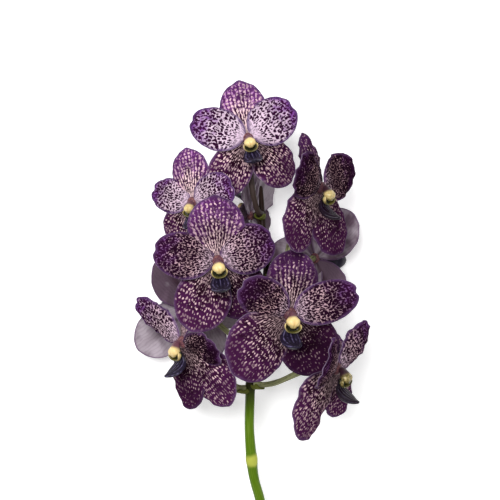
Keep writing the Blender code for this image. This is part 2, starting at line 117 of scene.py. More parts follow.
BLOOMS = {
    "01": Bloom((-1.8, 145.2, 78), 3, 6, 11, 0.90, 286, {
        "dorsal": {"turn": -3, "half_width": 1, "length": 2},
        "petal_left": {"turn": -11, "length": 3},
        "petal_right": {"turn": 8, "half_width": 2},
        "sepal_left": {"turn": -6, "length": -1, "half_width": -3, "sweep": -6, "twist": -6},
        "sepal_right": {"turn": 17, "sweep": -11, "twist": -18, "bend": -11},
    }),
    "02": Bloom((-41.0, 101.0, 69.5), -22, -4, 6, 0.84, 236, {
        "dorsal": {"turn": 3, "bend": 2},
        "petal_left": {"turn": -5, "half_width": -2, "sweep": -8, "twist": 8, "bend": -4},
        "petal_right": {"turn": -3, "length": -2, "sweep": 9, "twist": 3},
        "sepal_left": {
            "turn": 4, "length": -3, "half_width": -1, "sweep": -14, "twist": -18, "bend": -6,
        },
    }),
    "03": Bloom((48.7, 110.8, 80), 49, -5, -1, 0.97, 244, {
        "dorsal": {"turn": 1, "length": -3, "half_width": -7, "sweep": -21, "bend": 3},
        "petal_left": {"turn": -2, "sweep": 13, "twist": -3, "bend": 4},
        "petal_right": {"turn": 3, "half_width": 1, "sweep": 2, "twist": 3, "bend": -3},
        "sepal_left": {"turn": -2, "length": 1, "sweep": 9, "bend": 2},
        "sepal_right": {"length": 2, "sweep": 6, "twist": -3, "bend": 3},
    }),
    "04": Bloom((-22.6, 59.7, 90), 2, 2, 6, 0.99, 215, {
        "dorsal": {"turn": -3, "half_width": 3, "sweep": 10},
        "petal_left": {"turn": 1, "length": 2, "twist": 6},
        "petal_right": {"length": -1, "half_width": 1, "sweep": -4, "bend": -2},
        "sepal_left": {"turn": 4, "sweep": 1, "twist": 6, "bend": -2},
        "sepal_right": {"length": -2, "sweep": -10, "twist": -3, "bend": -5},
    }),
    "05": Bloom((27.1, 23.6, 97), 15, 0, -6, 1.06, 178, {
        "dorsal": {"turn": -3, "length": -2, "sweep": -5, "twist": -3},
        "petal_left": {"turn": -7, "length": -3, "half_width": -3, "sweep": 14, "twist": -15},
        "petal_right": {"turn": 6, "length": 3, "half_width": -3, "sweep": 9, "twist": -5},
        "sepal_left": {"turn": -9, "length": 2, "half_width": 2, "sweep": 15, "twist": -9},
        "sepal_right": {
            "turn": 7, "length": -8, "half_width": 0.5, "flare": -0.15, "sweep": 6, "twist": 4,
        },
    }),
    "06": Bloom((-48.2, 3.0, 66), -50, -11, 0, 1.0, 160, {
        "dorsal": {"turn": 6, "length": -9, "half_width": -2, "sweep": -10, "twist": -20},
        "petal_left": {
            "turn": -19, "length": 6, "half_width": -4.5, "sweep": 6, "twist": -4, "bend": 4,
        },
        "petal_right": {
            "turn": -34, "length": -5, "half_width": -4, "sweep": -5, "twist": 18, "bend": 2,
        },
        "sepal_left": {"turn": 18, "half_width": -2.5, "flare": -0.12, "bend": 2},
        "sepal_right": {"turn": -1, "length": 3, "half_width": 1, "sweep": -5, "twist": -4},
    }),
    "07": Bloom((59.5, -14.6, 84), 55, -9, 8, 1.0, 164, {
        "dorsal": {"turn": 12, "length": -9, "half_width": -6, "sweep": -52, "twist": -40},
        "petal_left": {"turn": -6, "half_width": 2, "sweep": 20, "twist": -3, "bend": 4},
        "petal_right": {"turn": 20, "half_width": -4.5, "sweep": 12, "bend": -6},
        "sepal_left": {"turn": -6, "length": 3.5, "half_width": 5, "sweep": 3, "twist": -6},
        "sepal_right": {"turn": -1, "length": -1, "half_width": -5.5, "sweep": -5, "twist": 13},
    }),
    "08": Bloom((-41.5, 26.4, 9.7), -158, 0, 90, 0.95, 190, {
        "dorsal": {"sweep": -20},
        "petal_left": {"sweep": -10},
        "petal_right": {"sweep": -10},
        "sepal_left": {"turn": -3, "length": 3, "sweep": 14},
        "sepal_right": {"turn": 17, "length": -3},
    }),
    "09": Bloom((47.5, 61.5, 8.2), 154, 0, 275, 0.86, 205, {
        "dorsal": {"length": -6, "sweep": -20},
        "petal_left": {"sweep": -10},
        "petal_right": {"sweep": -10},
        "sepal_left": {"turn": -18, "half_width": 1.5, "sweep": 6},
        "sepal_right": {"turn": 24, "length": -4},
    }),
    "10": Bloom((-0.6, 92.5, 31.4), -114, 0, 180, 0.8, 268, {}),
}

# How dark each bloom is: its marks run together, from 0, sparse, to 1, nearly closed.
DARKNESS = {
    "01": 0.15, "02": 0.3, "03": 0.98, "04": 0.72, "05": 0.85,
    "06": 0.72, "07": 0.85, "08": 0.35, "09": 0.75, "10": 0.4,
}
# How far a column has turned olive, and its neck and its lip black, where they have.
AGED = {"02": 0.25, "03": 0.5, "07": 0.95}
# Blades that are darker, or paler, than the rest of their bloom: partly their own colour, and
# partly painted shade on blades that lie in shadow, such as bloom 05's right side sepal.
DARKER_AND_SHADED = {
    "03": {"dorsal": 0.35, "petal_right": -0.05, "sepal_right": 0.45},
    "04": {"petal_right": -0.12, "sepal_right": 0.55},
    "05": {"dorsal": 0.4, "petal_right": -0.15, "sepal_right": 1.05},
    "06": {"petal_left": -0.25, "petal_right": 0.25, "sepal_left": 0.85},
    "07": {"petal_left": -0.05, "petal_right": -0.2, "sepal_left": -0.4},
    "08": {"dorsal": -0.6, "petal_right": -0.6, "sepal_right": 0.85},
    "09": {"sepal_left": -0.15, "sepal_right": 0.35},
    "10": {"petal_left": 0.5, "petal_right": 0.5, "sepal_left": 0.4, "sepal_right": -0.4},
}

# The stem's middle line, from the cut end to the tip, as x, y, z and radius in millimetres.
STEM_POINTS = (
    (12.7, -185.2, 3.6, 3.7),
    (14.1, -160.4, 10, 3.6),
    (11.1, -135.7, 17, 3.6),
    (6.7, -114.3, 23, 3.5),
    (2.3, -97.6, 28, 3.5),
    (0.5, -83.3, 32, 3.9),
    (-1.0, -61.8, 37, 3.4),
    (-0.6, -39.9, 41, 3.4),
    (0.1, -25.4, 43, 3.4),
    (3.7, -0.2, 45, 3.1),
    (9.3, 28.3, 47, 2.8),
    (11.5, 54.9, 48, 2.6),
    (9.3, 74.8, 48, 2.3),
    (8.1, 90.5, 48, 2.1),
    (7.5, 103.2, 49, 1.8),
    (7.2, 113.2, 51, 1.2),
)
# The station of that line where the old leaf scar swells the stem.
STEM_NODE = 5
STEM_SAMPLES = 400
PATH_STEPS = 12

# The rings of a limb's domed end, as shares of the way to its full width.
DOME_RINGS = (0.05, 0.35, 0.7)

# Mesh steps along and round the limbs.
HUB_STEPS = (14, 28)
COLUMN_STEPS = (30, 32)
LOBE_STEPS = (41, 16)
THROAT_STEPS = 36
LIP_STEPS = (44, 60)
STALK_STEPS = (56, 36)
STEM_STEPS = (190, 32)
BRACT_STEPS = 14

# Blooms whose hearts are lower than this, in mm, take fewer mesh steps.
LOW_HEART = 40

# The hub that a bloom's blades grow from, back to front: distance forward and radius, in mm.
HUB = ((-3.2, 2.6), (-1.6, 4.4), (1.0, 4.4), (2.6, 2.4))
# The finer hub goes on to here, to round its front.
HUB_FRONT = (3.1, 0.6)

# The column and the lip lie in the bloom's own YZ plane: y up, z forward, half width and half
# thickness, in mm, from root to tip.
COLUMN = (
    (0.0, 3.5, 2.2, 2.2),
    (-0.5, 5.2, 2.6, 2.5),
    (-2.9, 6.9, 3.9, 3.4),
    (-4.7, 8.1, 4.5, 3.9),
    (-6.4, 8.9, 3.9, 3.3),
    (-7.8, 9.3, 2.1, 1.7),
)

# The side lobes ring the throat: the ring's middle as y and z, its two radii, and the angles
# from which and through which it runs.
THROAT_CENTRE = (-7.6, 7.5)
THROAT_RADII = (5.1, 3.7)
THROAT_START = 150
THROAT_SWEEP = 240

LIP = (
    (-6.2, 3.4, 2.2, 0.7),
    (-9.5, 3.6, 4.4, 0.9),
    (-13.2, 4.0, 6.2, 1.2),
    (-16.6, 6.8, 7.3, 2.1),
    (-18.9, 10.6, 6.7, 2.4),
    (-20.1, 14.8, 4.4, 1.9),
    (-20.1, 18.6, 1.8, 1.1),
)
# How far apart the lip's ridges lie, as a share of its half width, and how high they are in mm.
LIP_RIDGE_PITCH = 0.36
LIP_RIDGE_HEIGHT = 0.32

# The stalk leaves the stem squarely and meets the hub squarely; these shares of its span say
# for how far it holds each direction. Its radii are in mm, and so is the gap at its two ends.
STALK_RADII = (2.1, 2.0, 1.95, 2.0, 2.15, 2.15, 1.8)
STALK_PULL_OUT = 0.35
STALK_PULL_IN = 0.38
STALK_GAP = 0.5
STALK_RIBS = 6

# The bract under each stalk, how far below the stalk's edge it sits, how deep it is rooted, and
# its thickness in the middle and at the rim.
BRACT = Blade(0, 9.5, 5.6, 4.4, 0.6, 0.8, 10, 0, 48, 0, 0, 0)
BRACT_DROP = 1.9
BRACT_ROOT = 4.2
BRACT_THICKNESS = (0.7, 0.4)

# The cut end, from the rind's edge to the pith's middle: share of the radius, and mm inwards.
CUT_END = ((1.0, 0.0), (0.93, -0.12), (0.84, 0.06), (0.5, 0.22), (0.05, 0.26))

# The throat, a hollow cup inside the ring: share of the ring's radii, and distance forward.
THROAT = (
    (0.03, 3.9),
    (0.7, 4.3),
    (0.97, 5.6),
    (0.97, 6.6),
    (0.88, 6.7),
    (0.62, 5.5),
    (0.3, 5.0),
    (0.03, 4.9),
)

# The surface's half width in metres, the light from all round, and two soft lamps: place, width
# and power. The camera stands over the stem, with the image's upper edge towards +Y.
SURFACE_HALF = 3.0
WORLD_STRENGTH = 0.38
LAMPS = {
    "wide_light": ((-0.3, 0.45, 1.6), 0.8, 27.0),
    "low_light": ((0.6, -0.5, 1.2), 0.8, 2.0),
}
LAMPS_AIM = (0, 0.05, 0.05)
CAMERA_PLACE = (-0.6 * MM, 67.65 * MM, 1250 * MM)
CAMERA_LENS = 121.4


def linear(hex_colour):
    """An sRGB hex colour as linear red, green, blue and alpha."""
    values = [int(hex_colour[place : place + 2], 16) / 255 for place in (1, 3, 5)]
    rgb = [v / 12.92 if v <= 0.04045 else ((v + 0.055) / 1.055) ** 2.4 for v in values]
    return (*rgb, 1.0)


def colour_property(name, description, hex_colour):
    """A colour that a user can change."""
    return FloatVectorProperty(
        name=name,
        description=description,
        default=linear(hex_colour),
        size=4,
        min=0.0,
        max=1.0,
        subtype="COLOR",
    )


def length_property(name, description, default, least, most):
    """A length that a user can change, with its bounds, all in millimetres."""
    return FloatProperty(
        name=name,
        description=description,
        default=default * MM,
        min=least * MM,
        max=most * MM,
        unit="LENGTH",
    )


class OrchidSizes(bpy.types.PropertyGroup):
    """Sizes of the blooms' fine relief and pattern"""

    thickness: length_property("Blade thickness", "Thickness of a blade's middle", 0.8, 0.3, 1.2)
    rim_thickness: length_property("Rim thickness", "Thickness of a blade's rim", 0.35, 0.2, 0.8)
    frill: length_property("Frill", "Height of the small waves round a blade's rim", 0.55, 0, 1.5)
    midrib: length_property("Midrib", "Depth of the groove down a blade's middle", 0.45, 0, 1)
    veins: length_property("Veins", "Height of the swellings between a blade's veins", 0.09, 0, 0.5)
    mark_width: length_property("Mark width", "Width of a petal's dark mark, across", 2.7, 0.5, 5)
    mark_length: length_property("Mark length", "Length of such a mark, along", 3.8, 0.5, 8)
    rim_width: length_property("Rim width", "Width of a blade's violet rim", 3.0, 0, 5)
    steps_along: IntProperty(
        name="Steps along",
        description="Mesh steps from a blade's root to its end",
        default=52,
        min=8,
        max=80,
    )
    steps_across: IntProperty(
        name="Steps across",
        description="Mesh steps from one side of a blade to the other",
        default=36,
        min=8,
        max=60,
    )


class OrchidColours(bpy.types.PropertyGroup):
    """Colours of the blooms, stalks and stem"""

    petal_base: colour_property("Petal base", "Pale ground at a petal's root", "#e4cbe2")
    petal_tip: colour_property("Petal end", "Violet ground near a petal's end", "#7c4492")
    net: colour_property("Net", "Pinkish ground between the marks of the dark blooms", "#ba949a")
    mark: colour_property("Mark", "Dark purple of a petal's marks", "#160612")
    mark_pale: colour_property("Pale bloom's mark", "Purple of a pale bloom's marks", "#321130")
    mark_tip: colour_property("Mark near the end", "Purple of the marks near the end", "#3c133d")
    dorsal: colour_property("Upper sepal", "Cream-pink chains at the upper sepal's root", "#edd3d2")
    dorsal_tip: colour_property("Upper sepal end", "Magenta-pink chains at its end", "#b87abc")
    dorsal_mark: colour_property("Upper sepal marks", "Violet between its chains", "#602f68")
    sepal: colour_property("Side sepal", "Dark maroon ground of the two side sepals", "#230a1a")
    sepal_tip: colour_property("Side sepal end", "Purple of the side sepals' ends", "#451c42")
    dash: colour_property("Dash", "Pale dashes on the two side sepals", "#f2ccd0")
    rim: colour_property("Rim", "Violet-blue rim of the pale blooms", "#573a6c")
    rim_dark: colour_property("Dark rim", "Violet rim of the dark blooms", "#58395f")
    # Painted highlight: the pale, thin line along each blade's very rim.
    rim_highlight: colour_property("Rim edge", "Pale edge of the rim", "#b3a3b8")
    reverse: colour_property("Reverse", "Grey-violet back of petals and sepals", "#b0a4ae")
    stripe: colour_property("Stripe", "Dark stripe down the back of each blade", "#3e2633")
    neck: colour_property("Neck", "Pinkish maroon hub between column and upper sepal", "#643c48")
    column: colour_property("Column", "Cream of the column and its side lobes", "#e8d193")
    column_line: colour_property("Column line", "Ochre of the column's groove", "#b9862f")
    throat: colour_property("Throat", "Green-black of the throat", "#1c1f14")
    lip: colour_property("Lip", "Blue-violet of the lip, almost black", "#1e1729")
    # Also the painted highlight along the lip's rim.
    lip_ridge_and_highlight: colour_property("Lip ridge", "Pale lilac of the lip's ridges and rim", "#6c6288")
    stalk: colour_property("Stalk", "Olive green of stalk and ovary", "#92946a")
    # Also painted shade on the stalks near the stem's tip.
    stalk_flush_and_shade: colour_property("Stalk flush", "Purple flush on stalk and ovary", "#2b191f")
    stem: colour_property("Stem", "Mid green of the stem", "#4e6d0a")
    # Partly the upper stem's own colour and partly painted shade where the blooms hang over it.
    stem_top_and_shade: colour_property("Stem top", "Dark brown of the stem's upper part", "#241813")
    scar: colour_property("Scar", "Pale yellow of the old leaf scar", "#b0b54c")
    pith: colour_property("Pith", "Pale inside of the cut end", "#c3cc93")
    bract: colour_property("Bract", "Dull olive of the bracts", "#5c6322")
    surface: colour_property("Surface", "Pale surface that the stem lies on", "#f7f7f7")


# The IOR of plant wax, of moist tissue and of the frosted acrylic.
WAX_IOR = 1.45
SAP_IOR = 1.4
ACRYLIC_IOR = 1.45

SMOOTH = {"interpolation_type": "SMOOTHSTEP"}
RGBA = {"data_type": "RGBA"}
FLAT_NOISE = {"noise_dimensions": "2D"}
FLAT_NET = {"voronoi_dimensions": "2D", "feature": "DISTANCE_TO_EDGE"}
FLAT_SPOTS = {"voronoi_dimensions": "2D", "feature": "F1"}

# What a piece stores at its points for the patterns: vein is the place on its own flat blade in
# mm, edge three values that each kind of piece has its own use for, and dark how dark it is.
VEIN = {"attribute_name": "vein"}
EDGE = {"attribute_name": "edge"}
DARK = {"attribute_name": "dark"}


def fill(socket, value):
    """Gives an input a value, or links it to a socket or to a node's first output in use."""
    if isinstance(value, bpy.types.Node):
        value = next(output for output in value.outputs if output.enabled)
    if isinstance(value, bpy.types.NodeSocket):
        socket.id_data.links.new(value, socket)
    else:
        socket.default_value = value


def add_node(tree, kind, settings=None, *values, **named):
    """Adds a shader node. settings are its own properties, or its operation alone. values fill
    its inputs in use, in their order, and named ones fill those of their names."""
    made = tree.nodes.new("ShaderNode" + kind)
    if isinstance(settings, str):
        settings = {"operation": settings}
    for name, value in (settings or {}).items():
        setattr(made, name, value)
    used = [socket for socket in made.inputs if socket.enabled]
    for socket, value in zip(used, values):
        fill(socket, value)
    for name, value in named.items():
        fill(next(socket for socket in used if socket.name == name), value)
    return made


def edge_values(node):
    """The three values that a piece stores at its points for its own pattern."""
    edge = node("Attribute", EDGE).outputs["Vector"]
    return node("SeparateXYZ", None, edge).outputs


def wandering(node, vein, scale, detail, reach, place):
    """The place in mm, moved by up to reach mm by noise over the flat place."""
    noise = node("TexNoise", None, Vector=vein, Scale=scale, Detail=detail)
    return node("VectorMath", "MULTIPLY_ADD", noise.outputs["Color"], (reach, reach, 0), place)


def waves_across(node, place, pitch):
    """Waves from -1 to 1 across the veins, this far apart."""
    wave = node("SeparateXYZ", None, place)
    wave = node("Math", "MULTIPLY", wave, TURN / pitch)
    return node("Math", "COSINE", wave)


def turned(node, kind, value, low, high, first, last, colour, other):
    """The colour with a share of another, from first to last as value goes from low to high."""
    share = node("MapRange", kind, value, low, high, first, last)
    return node("Mix", RGBA, share, colour, other)


def new_material(name, ior, roughness, specular=0.5):
    """A material, and the function that adds a node to it."""
    made = bpy.data.materials.new(name)
    made.use_nodes = True
    shader = made.node_tree.nodes["Principled BSDF"]
    shader.inputs["IOR"].default_value = ior
    shader.inputs["Roughness"].default_value = roughness
    shader.inputs["Specular IOR Level"].default_value = specular
    shader.inputs["Metallic"].default_value = 0.0
    return made, partial(add_node, made.node_tree)


def dressed(made, colour, height, strength, depth, gloss=None):
    """The material with its colour, its relief, depth mm deep, and its gloss linked to it."""
    tree = made.node_tree
    shader = tree.nodes["Principled BSDF"]
    relief = add_node(tree, "Bump", None, Strength=strength, Distance=depth * MM, Height=height)
    fill(shader.inputs["Base Color"], colour)
    fill(shader.inputs["Normal"], relief)
    if gloss:
        fill(shader.inputs["Roughness"], gloss)
    return made


# What a blade's front looks like: its ground at the root and towards the end, and its marks
# there. net is how wide the pale lines between the marks are, as a share of a mark, at the
# root and at the end, dull how much of its paleness the ground loses in a dark bloom, turn_from
# and turn_to the shares of the length between which it turns, and side how much sooner it turns
# at the two sides. widen and stretch are how much larger the marks are drawn than a petal's,
# across and along, clear how much of them is missing at the root of a pale bloom, and shade how
# much darker the root is, partly painted shade from the column and the blades over it and
# partly its own darker colour. dashes and dash_end are how strong the pale dashes are at the root
# and at the end, dash_width and dash_length how far apart they lie in mm, disorder how far they
# leave their rows, streak_end where the streaks end, and between how dark the veins between the
# rows are. A petal has no dashes.
Front = namedtuple(
    "Front",
    "ground ground_end marks marks_end net_root net_end dull turn_from turn_to widen stretch side "
    "clear shade dashes dash_end dash_width dash_length disorder streak_end between",
    defaults=(1.0, 1.0, *[0.0] * 10),
)

# What a front's pattern reads at a point: its flat place, its place across, its share of the
# length, its distance from the rim in mm, how dark it is, its flat place along wandering veins
# in long bends and in short ones too, how fine the marks are, what joins them, and how far it
# lies in patches about 7 and 16 mm wide. The 16 mm patches are where painted shade falls.
Here = namedtuple("Here", "vein across share rim dark bent kinked fine joins cloud soft")


def front_place(node):
    """What the pattern of a blade's front reads at each point."""
    vein = node("Attribute", VEIN).outputs["Vector"]
    dark = node("Attribute", DARK).outputs["Fac"]
    across, share, rim = edge_values(node)
    # The veins wander, in long bends of about 4 mm and short ones of about 1 mm.
    bent = wandering(node, vein, 0.25, 1.0, 1.8, vein)
    kinked = wandering(node, vein, 0.9, 0.0, 1.3, bent)
    # In a dark bloom the marks are up to a half finer.
    fine = node("Math", "MULTIPLY_ADD", dark, 0.5, 1.0)
    # Noise about as coarse as the marks, 2.4 mm, joins some of them and swells others.
    coarse = node("Math", "MULTIPLY", fine, 0.42)
    joins = node("TexNoise", FLAT_NOISE, Vector=kinked, Scale=coarse, Detail=1.0)
    joins = node("Math", "SUBTRACT", joins, 0.5)
    patch = node("TexNoise", None, Vector=vein, Scale=0.15, Detail=1.0)
    cloud = node("Math", "SUBTRACT", patch, 0.5)
    # Patches about 16 mm wide, where painted shade falls and the dashes fade.
    soft = node("TexNoise", None, Vector=vein, Scale=0.06, Detail=1.0)
    return Here(vein, across, share, rim, dark, bent, kinked, fine, joins, cloud, soft)


def front_marks(node, here, front, dulled, sizes):
    """Where the dark marks are, from 0 to 1: cells with a pale net between them."""
    pitch = (MM / sizes.mark_width / front.widen, MM / sizes.mark_length / front.stretch, 0)
    cells = node("VectorMath", "MULTIPLY", here.kinked, pitch)
    net = node("TexVoronoi", FLAT_NET, Vector=cells, Scale=here.fine, Randomness=0.9)
    # How wide the pale net is here: less towards the end, in a dark bloom and in a dark patch.
    width = node("MapRange", SMOOTH, here.share, 0.1, 0.85, front.net_root, front.net_end)
    width = node("Math", "MULTIPLY_ADD", dulled, -0.16, width)
    swell = node("Math", "MULTIPLY_ADD", dulled, -0.45, 0.95)
    swell = node("Math", "MULTIPLY", swell, here.joins)
    width = node("Math", "ADD", swell, width)
    width = node("Math", "MULTIPLY_ADD", here.cloud, 0.18, width)
    gap = node("Math", "SUBTRACT", net.outputs["Distance"], width)
    marks = node("MapRange", SMOOTH, gap, -0.05, 0.06, 0.0, 1.0)
    # Close to the root the marks stop, more so in a pale bloom.
    clear = node("MapRange", SMOOTH, here.share, 0.1, 0.2, front.clear, 0.0)
    paleness = node("MapRange", None, here.dark, 0.1, 0.8, 1.0, 0.0)
    clear = node("Math", "MULTIPLY", clear, paleness)
    clear = node("Math", "SUBTRACT", 1.0, clear)
    return node("Math", "MULTIPLY", marks, clear)


def front_dashes(node, here, front, place, colour, marks, colours):
    """The colour with pale dashes in rows between the veins, streaks in the same rows at the
    root, and the veins as dark lines."""
    row = (1 / front.dash_width, 1 / front.dash_length, 0)
    rows = node("VectorMath", "MULTIPLY", here.bent, row)
    spots = node("TexVoronoi", FLAT_SPOTS, Vector=rows, Scale=1.0, Randomness=front.disorder)
    own = node("MapRange", None, spots.outputs["Color"], 0.0, 0.7, 0.5, 1.0)
    reach = node("Math", "MULTIPLY_ADD", here.joins, -0.7, spots)
    reach = node("Math", "MULTIPLY_ADD", here.cloud, -0.5, reach)
    reach = node("Math", "MULTIPLY_ADD", here.dark, 0.1, reach)
    spots = node("MapRange", SMOOTH, reach, 0.24, 0.38, 1.0, 0.0)
    inner = node("MapRange", SMOOTH, place, 0.55, 1.15, front.dashes, front.dash_end)
    spots = node("Math", "MULTIPLY", spots, inner)
    spots = node("Math", "MULTIPLY", spots, own)
    # In the soft patches that take painted shade most dashes are faint.
    least = 0.45 + 0.4 * front.dull
    faint = node("MapRange", SMOOTH, here.soft, 0.48, 0.64, 1.0, least)
    spots = node("Math", "MULTIPLY", spots, faint)

    lines = waves_across(node, rows, 1.0)
    streaks = node("Math", "MULTIPLY_ADD", here.joins, -3.0, lines)
    streaks = node("MapRange", SMOOTH, streaks, -0.95, -0.3, 0.8, 0.0)
    root = node("MapRange", SMOOTH, here.share, 0.08, front.streak_end, 1.0, 0.0)
    streaks = node("Math", "MULTIPLY", streaks, root)
    spots = node("Math", "MAXIMUM", spots, streaks)
    colour = node("Mix", RGBA, spots, colour, colours.dash)
    between = node("Math", "MULTIPLY_ADD", here.joins, -1.5, lines)
    return turned(node, SMOOTH, between, 0.0, 0.7, 0.0, front.between, colour, marks)


def petal_front(name, front, colours, sizes):
    """Living orchid petal, waxy: dark marks in rows along the veins, on a pale ground.

    To the eye it is a soft satin skin with a mosaic of dark cells, closer and darker towards
    the end, running into a violet rim.
    """
    made, node = new_material(name, WAX_IOR, 0.42, 0.0)
    here = front_place(node)
    dulled = node("Math", "MULTIPLY", here.dark, front.dull)
    mask = front_marks(node, here, front, dulled, sizes)

    # The ground: pale at the root and turning violet outwards, and dull where the bloom is dark.
    aside = node("Math", "ABSOLUTE", here.across)
    place = node("Math", "MULTIPLY_ADD", aside, front.side, here.share)
    place = node("Math", "MULTIPLY_ADD", here.cloud, 0.9, place)
    outer = node("MapRange", SMOOTH, place, front.turn_from, front.turn_to, 0.0, 1.0)
    dull = node("MapRange", SMOOTH, here.share, 0.05, 0.35, 0.65 * front.dull, 1.25 * front.dull)
    dull = node("Math", "MULTIPLY", here.dark, dull)
    inner = node("Mix", RGBA, dull, front.ground, colours.net)
    dim = node("Math", "MULTIPLY", dulled, 0.7)
    end = node("Mix", RGBA, dim, front.ground_end, colours.rim_dark)
    ground = node("Mix", RGBA, outer, inner, end)
    marks = node("Mix", RGBA, outer, front.marks, front.marks_end)
    black = node("Math", "MULTIPLY_ADD", outer, -0.5, 1.0)
    black = node("Math", "MULTIPLY", black, dulled)
    marks = node("Mix", RGBA, black, marks, colours.mark)
    colour = node("Mix", RGBA, mask, ground, marks)
    if front.dashes:
        colour = front_dashes(node, here, front, place, colour, marks, colours)

    # The violet rim, which the marks run into unevenly, and a painted highlight as a pale, thin
    # line along its edge.
    dusk = node("Math", "MAXIMUM", here.dark, 1.0 - front.dull)
    band = node("Mix", RGBA, dusk, colours.rim, colours.rim_dark)
    uneven = node("Math", "MULTIPLY_ADD", here.cloud, -3.0, here.rim)
    width = sizes.rim_width / MM
    colour = turned(node, SMOOTH, uneven, 0.2 * width, width, 0.84, 0.0, colour, band)
    colour = turned(node, SMOOTH, here.rim, 0.05, 0.55, 0.45, 0.0, colour, colours.rim_highlight)
    # A dark bloom is deeper all over. Painted shade darkens every bloom in soft patches about
    # 16 mm wide, and a side sepal towards its root, along with the root's own darker colour.
    deep = node("Math", "MULTIPLY", here.dark, here.dark)
    soft = node("MapRange", SMOOTH, here.soft, 0.42, 0.68, 0.0, 0.42)
    shade_weight = node("Math", "MULTIPLY_ADD", dulled, 0.7, 0.4)
    soft = node("Math", "MULTIPLY", soft, shade_weight)
    deep = node("Math", "MULTIPLY_ADD", deep, 0.18, soft)
    # Painted shade at the root, where the column and the other blades cover it, over its own darker
    # colour.
    root = node("MapRange", SMOOTH, here.share, 0.1, 0.5, front.shade, 0.0)
    deep = node("Math", "MAXIMUM", deep, root)
    colour = node("Mix", RGBA, deep, colour, colours.mark)

    # Fine relief: veins 1.1 mm apart, and the skin's own grain, about 0.3 mm.
    wave = waves_across(node, here.bent, 1.1)
    grain = node("TexNoise", None, Vector=here.vein, Scale=3.0, Detail=2.0)
    height = node("Math", "MULTIPLY_ADD", wave, 0.35, grain)
    height = node("Math", "MULTIPLY_ADD", mask, -0.4, height)
    gloss = node("MapRange", None, grain, 0.3, 0.7, 0.36, 0.5)
    return dressed(made, colour, height, 0.6, 0.08, gloss)


def petal_reverse(colours):
    """Back of the petals and sepals: duller and greyer than the front, with a satin bloom.

    To the eye it is a soft grey-violet skin with faint veins, a dark stripe down the midrib and
    the violet rim showing through.
    """
    made, node = new_material("petal_reverse_waxy", WAX_IOR, 0.5, 0.08)
    vein = node("Attribute", VEIN).outputs["Vector"]
    dark = node("Attribute", DARK).outputs["Fac"]
    across, share, rim = edge_values(node)
    patch = node("TexNoise", None, Vector=vein, Scale=0.07, Detail=2.0)
    plum = node("Math", "MULTIPLY_ADD", dark, 0.45, patch)
    colour = turned(node, None, plum, 0.6, 0.9, 0.0, 0.85, colours.reverse, linear("#50364a"))
    # Faint veins about 2.6 mm apart at the widest place, in long bends.
    wave = waves_across(node, wandering(node, vein, 0.15, 2.0, 4.0, vein), 2.6)
    colour = turned(node, SMOOTH, wave, 0.0, 1.0, 0.0, 0.14, colour, colours.stripe)
    middle = node("Math", "ABSOLUTE", across)
    middle = node("Math", "MULTIPLY_ADD", patch, 0.15, middle)
    stripe = node("MapRange", SMOOTH, middle, 0.08, 0.36, 0.75, 0.0)
    fade = node("MapRange", SMOOTH, share, 0.4, 0.95, 1.0, 0.2)
    stripe = node("Math", "MULTIPLY", stripe, fade)
    colour = node("Mix", RGBA, stripe, colour, colours.stripe)
    colour = turned(node, SMOOTH, rim, 0.3, 1.8, 0.7, 0.0, colour, colours.rim_dark)
    grain = node("TexNoise", None, Vector=vein, Scale=3.0, Detail=2.0)
    height = node("Math", "MULTIPLY_ADD", wave, 0.5, grain)
    gloss = node("MapRange", None, dark, 0.0, 1.0, 0.55, 0.45)
    return dressed(made, colour, height, 0.6, 0.1, gloss)


def hub_neck(colours):
    """The bloom's hub, waxy: pinkish maroon, clouded, where column and sepals grow together."""
    made, node = new_material("hub_neck_waxy", WAX_IOR, 0.42, 0.2)
    place = node("NewGeometry").outputs["Position"]
    dark = node("Attribute", DARK).outputs["Fac"]
    cloud = node("TexNoise", None, Vector=place, Scale=900.0, Detail=2.0)
    colour = turned(node, None, cloud, 0.45, 0.7, 0.0, 0.6, colours.neck, linear("#a87468"))
    colour = turned(node, None, dark, 0.75, 1.0, 0.1, 0.75, colour, colours.mark)
    return dressed(made, colour, cloud, 0.4, 0.1)


def column_cream(colours):
    """Column and side lobes, smooth and waxy: cream with an ochre line down the groove.

    To the eye it is a bright, slightly translucent bead, the palest thing in each bloom. It
    turns olive all over where it is dark, and with painted shade under the ball and the lobes.
    """
    made, node = new_material("column_waxy_cream", WAX_IOR, 0.32)
    place = node("NewGeometry").outputs["Position"]
    dark = node("Attribute", DARK).outputs["Fac"]
    groove, root, under = edge_values(node)
    cloud = node("TexNoise", None, Vector=place, Scale=700.0, Detail=2.0)
    cream = turned(node, None, cloud, 0.35, 0.7, 0.0, 0.35, colours.column, linear("#e3bd74"))
    colour = node("Mix", RGBA, groove, cream, colours.column_line)
    neck = turned(node, None, dark, 0.25, 0.5, 0.0, 0.8, colours.neck, colours.mark)
    # Olive where the column has aged, and painted shade under the ball and on the side lobes.
    aged = node("Math", "MULTIPLY", dark, cloud)
    aged = node("Math", "MULTIPLY_ADD", aged, 1.6, under)
    colour = node("Mix", RGBA, aged, colour, linear("#4f4a1c"))
    colour = node("Mix", RGBA, root, colour, neck)
    shader = made.node_tree.nodes["Principled BSDF"]
    shader.inputs["Subsurface Weight"].default_value = 0.15
    shader.inputs["Subsurface Radius"].default_value = (1.0, 0.6, 0.3)
    shader.inputs["Subsurface Scale"].default_value = 0.8 * MM
    return dressed(made, colour, cloud, 0.3, 0.1)


def throat_dark(colours):
    """The throat under the column, moist: green-black with twelve paler lines running in."""
    made, node = new_material("throat_green_black", SAP_IOR, 0.35)
    lines = node("Math", "MULTIPLY", edge_values(node)[0], 12.0)
    lines = node("Math", "SINE", lines)
    colour = turned(node, SMOOTH, lines, 0.3, 1.0, 0.0, 0.35, colours.throat, linear("#5a5330"))
    return dressed(made, colour, lines, 0.4, 0.1)


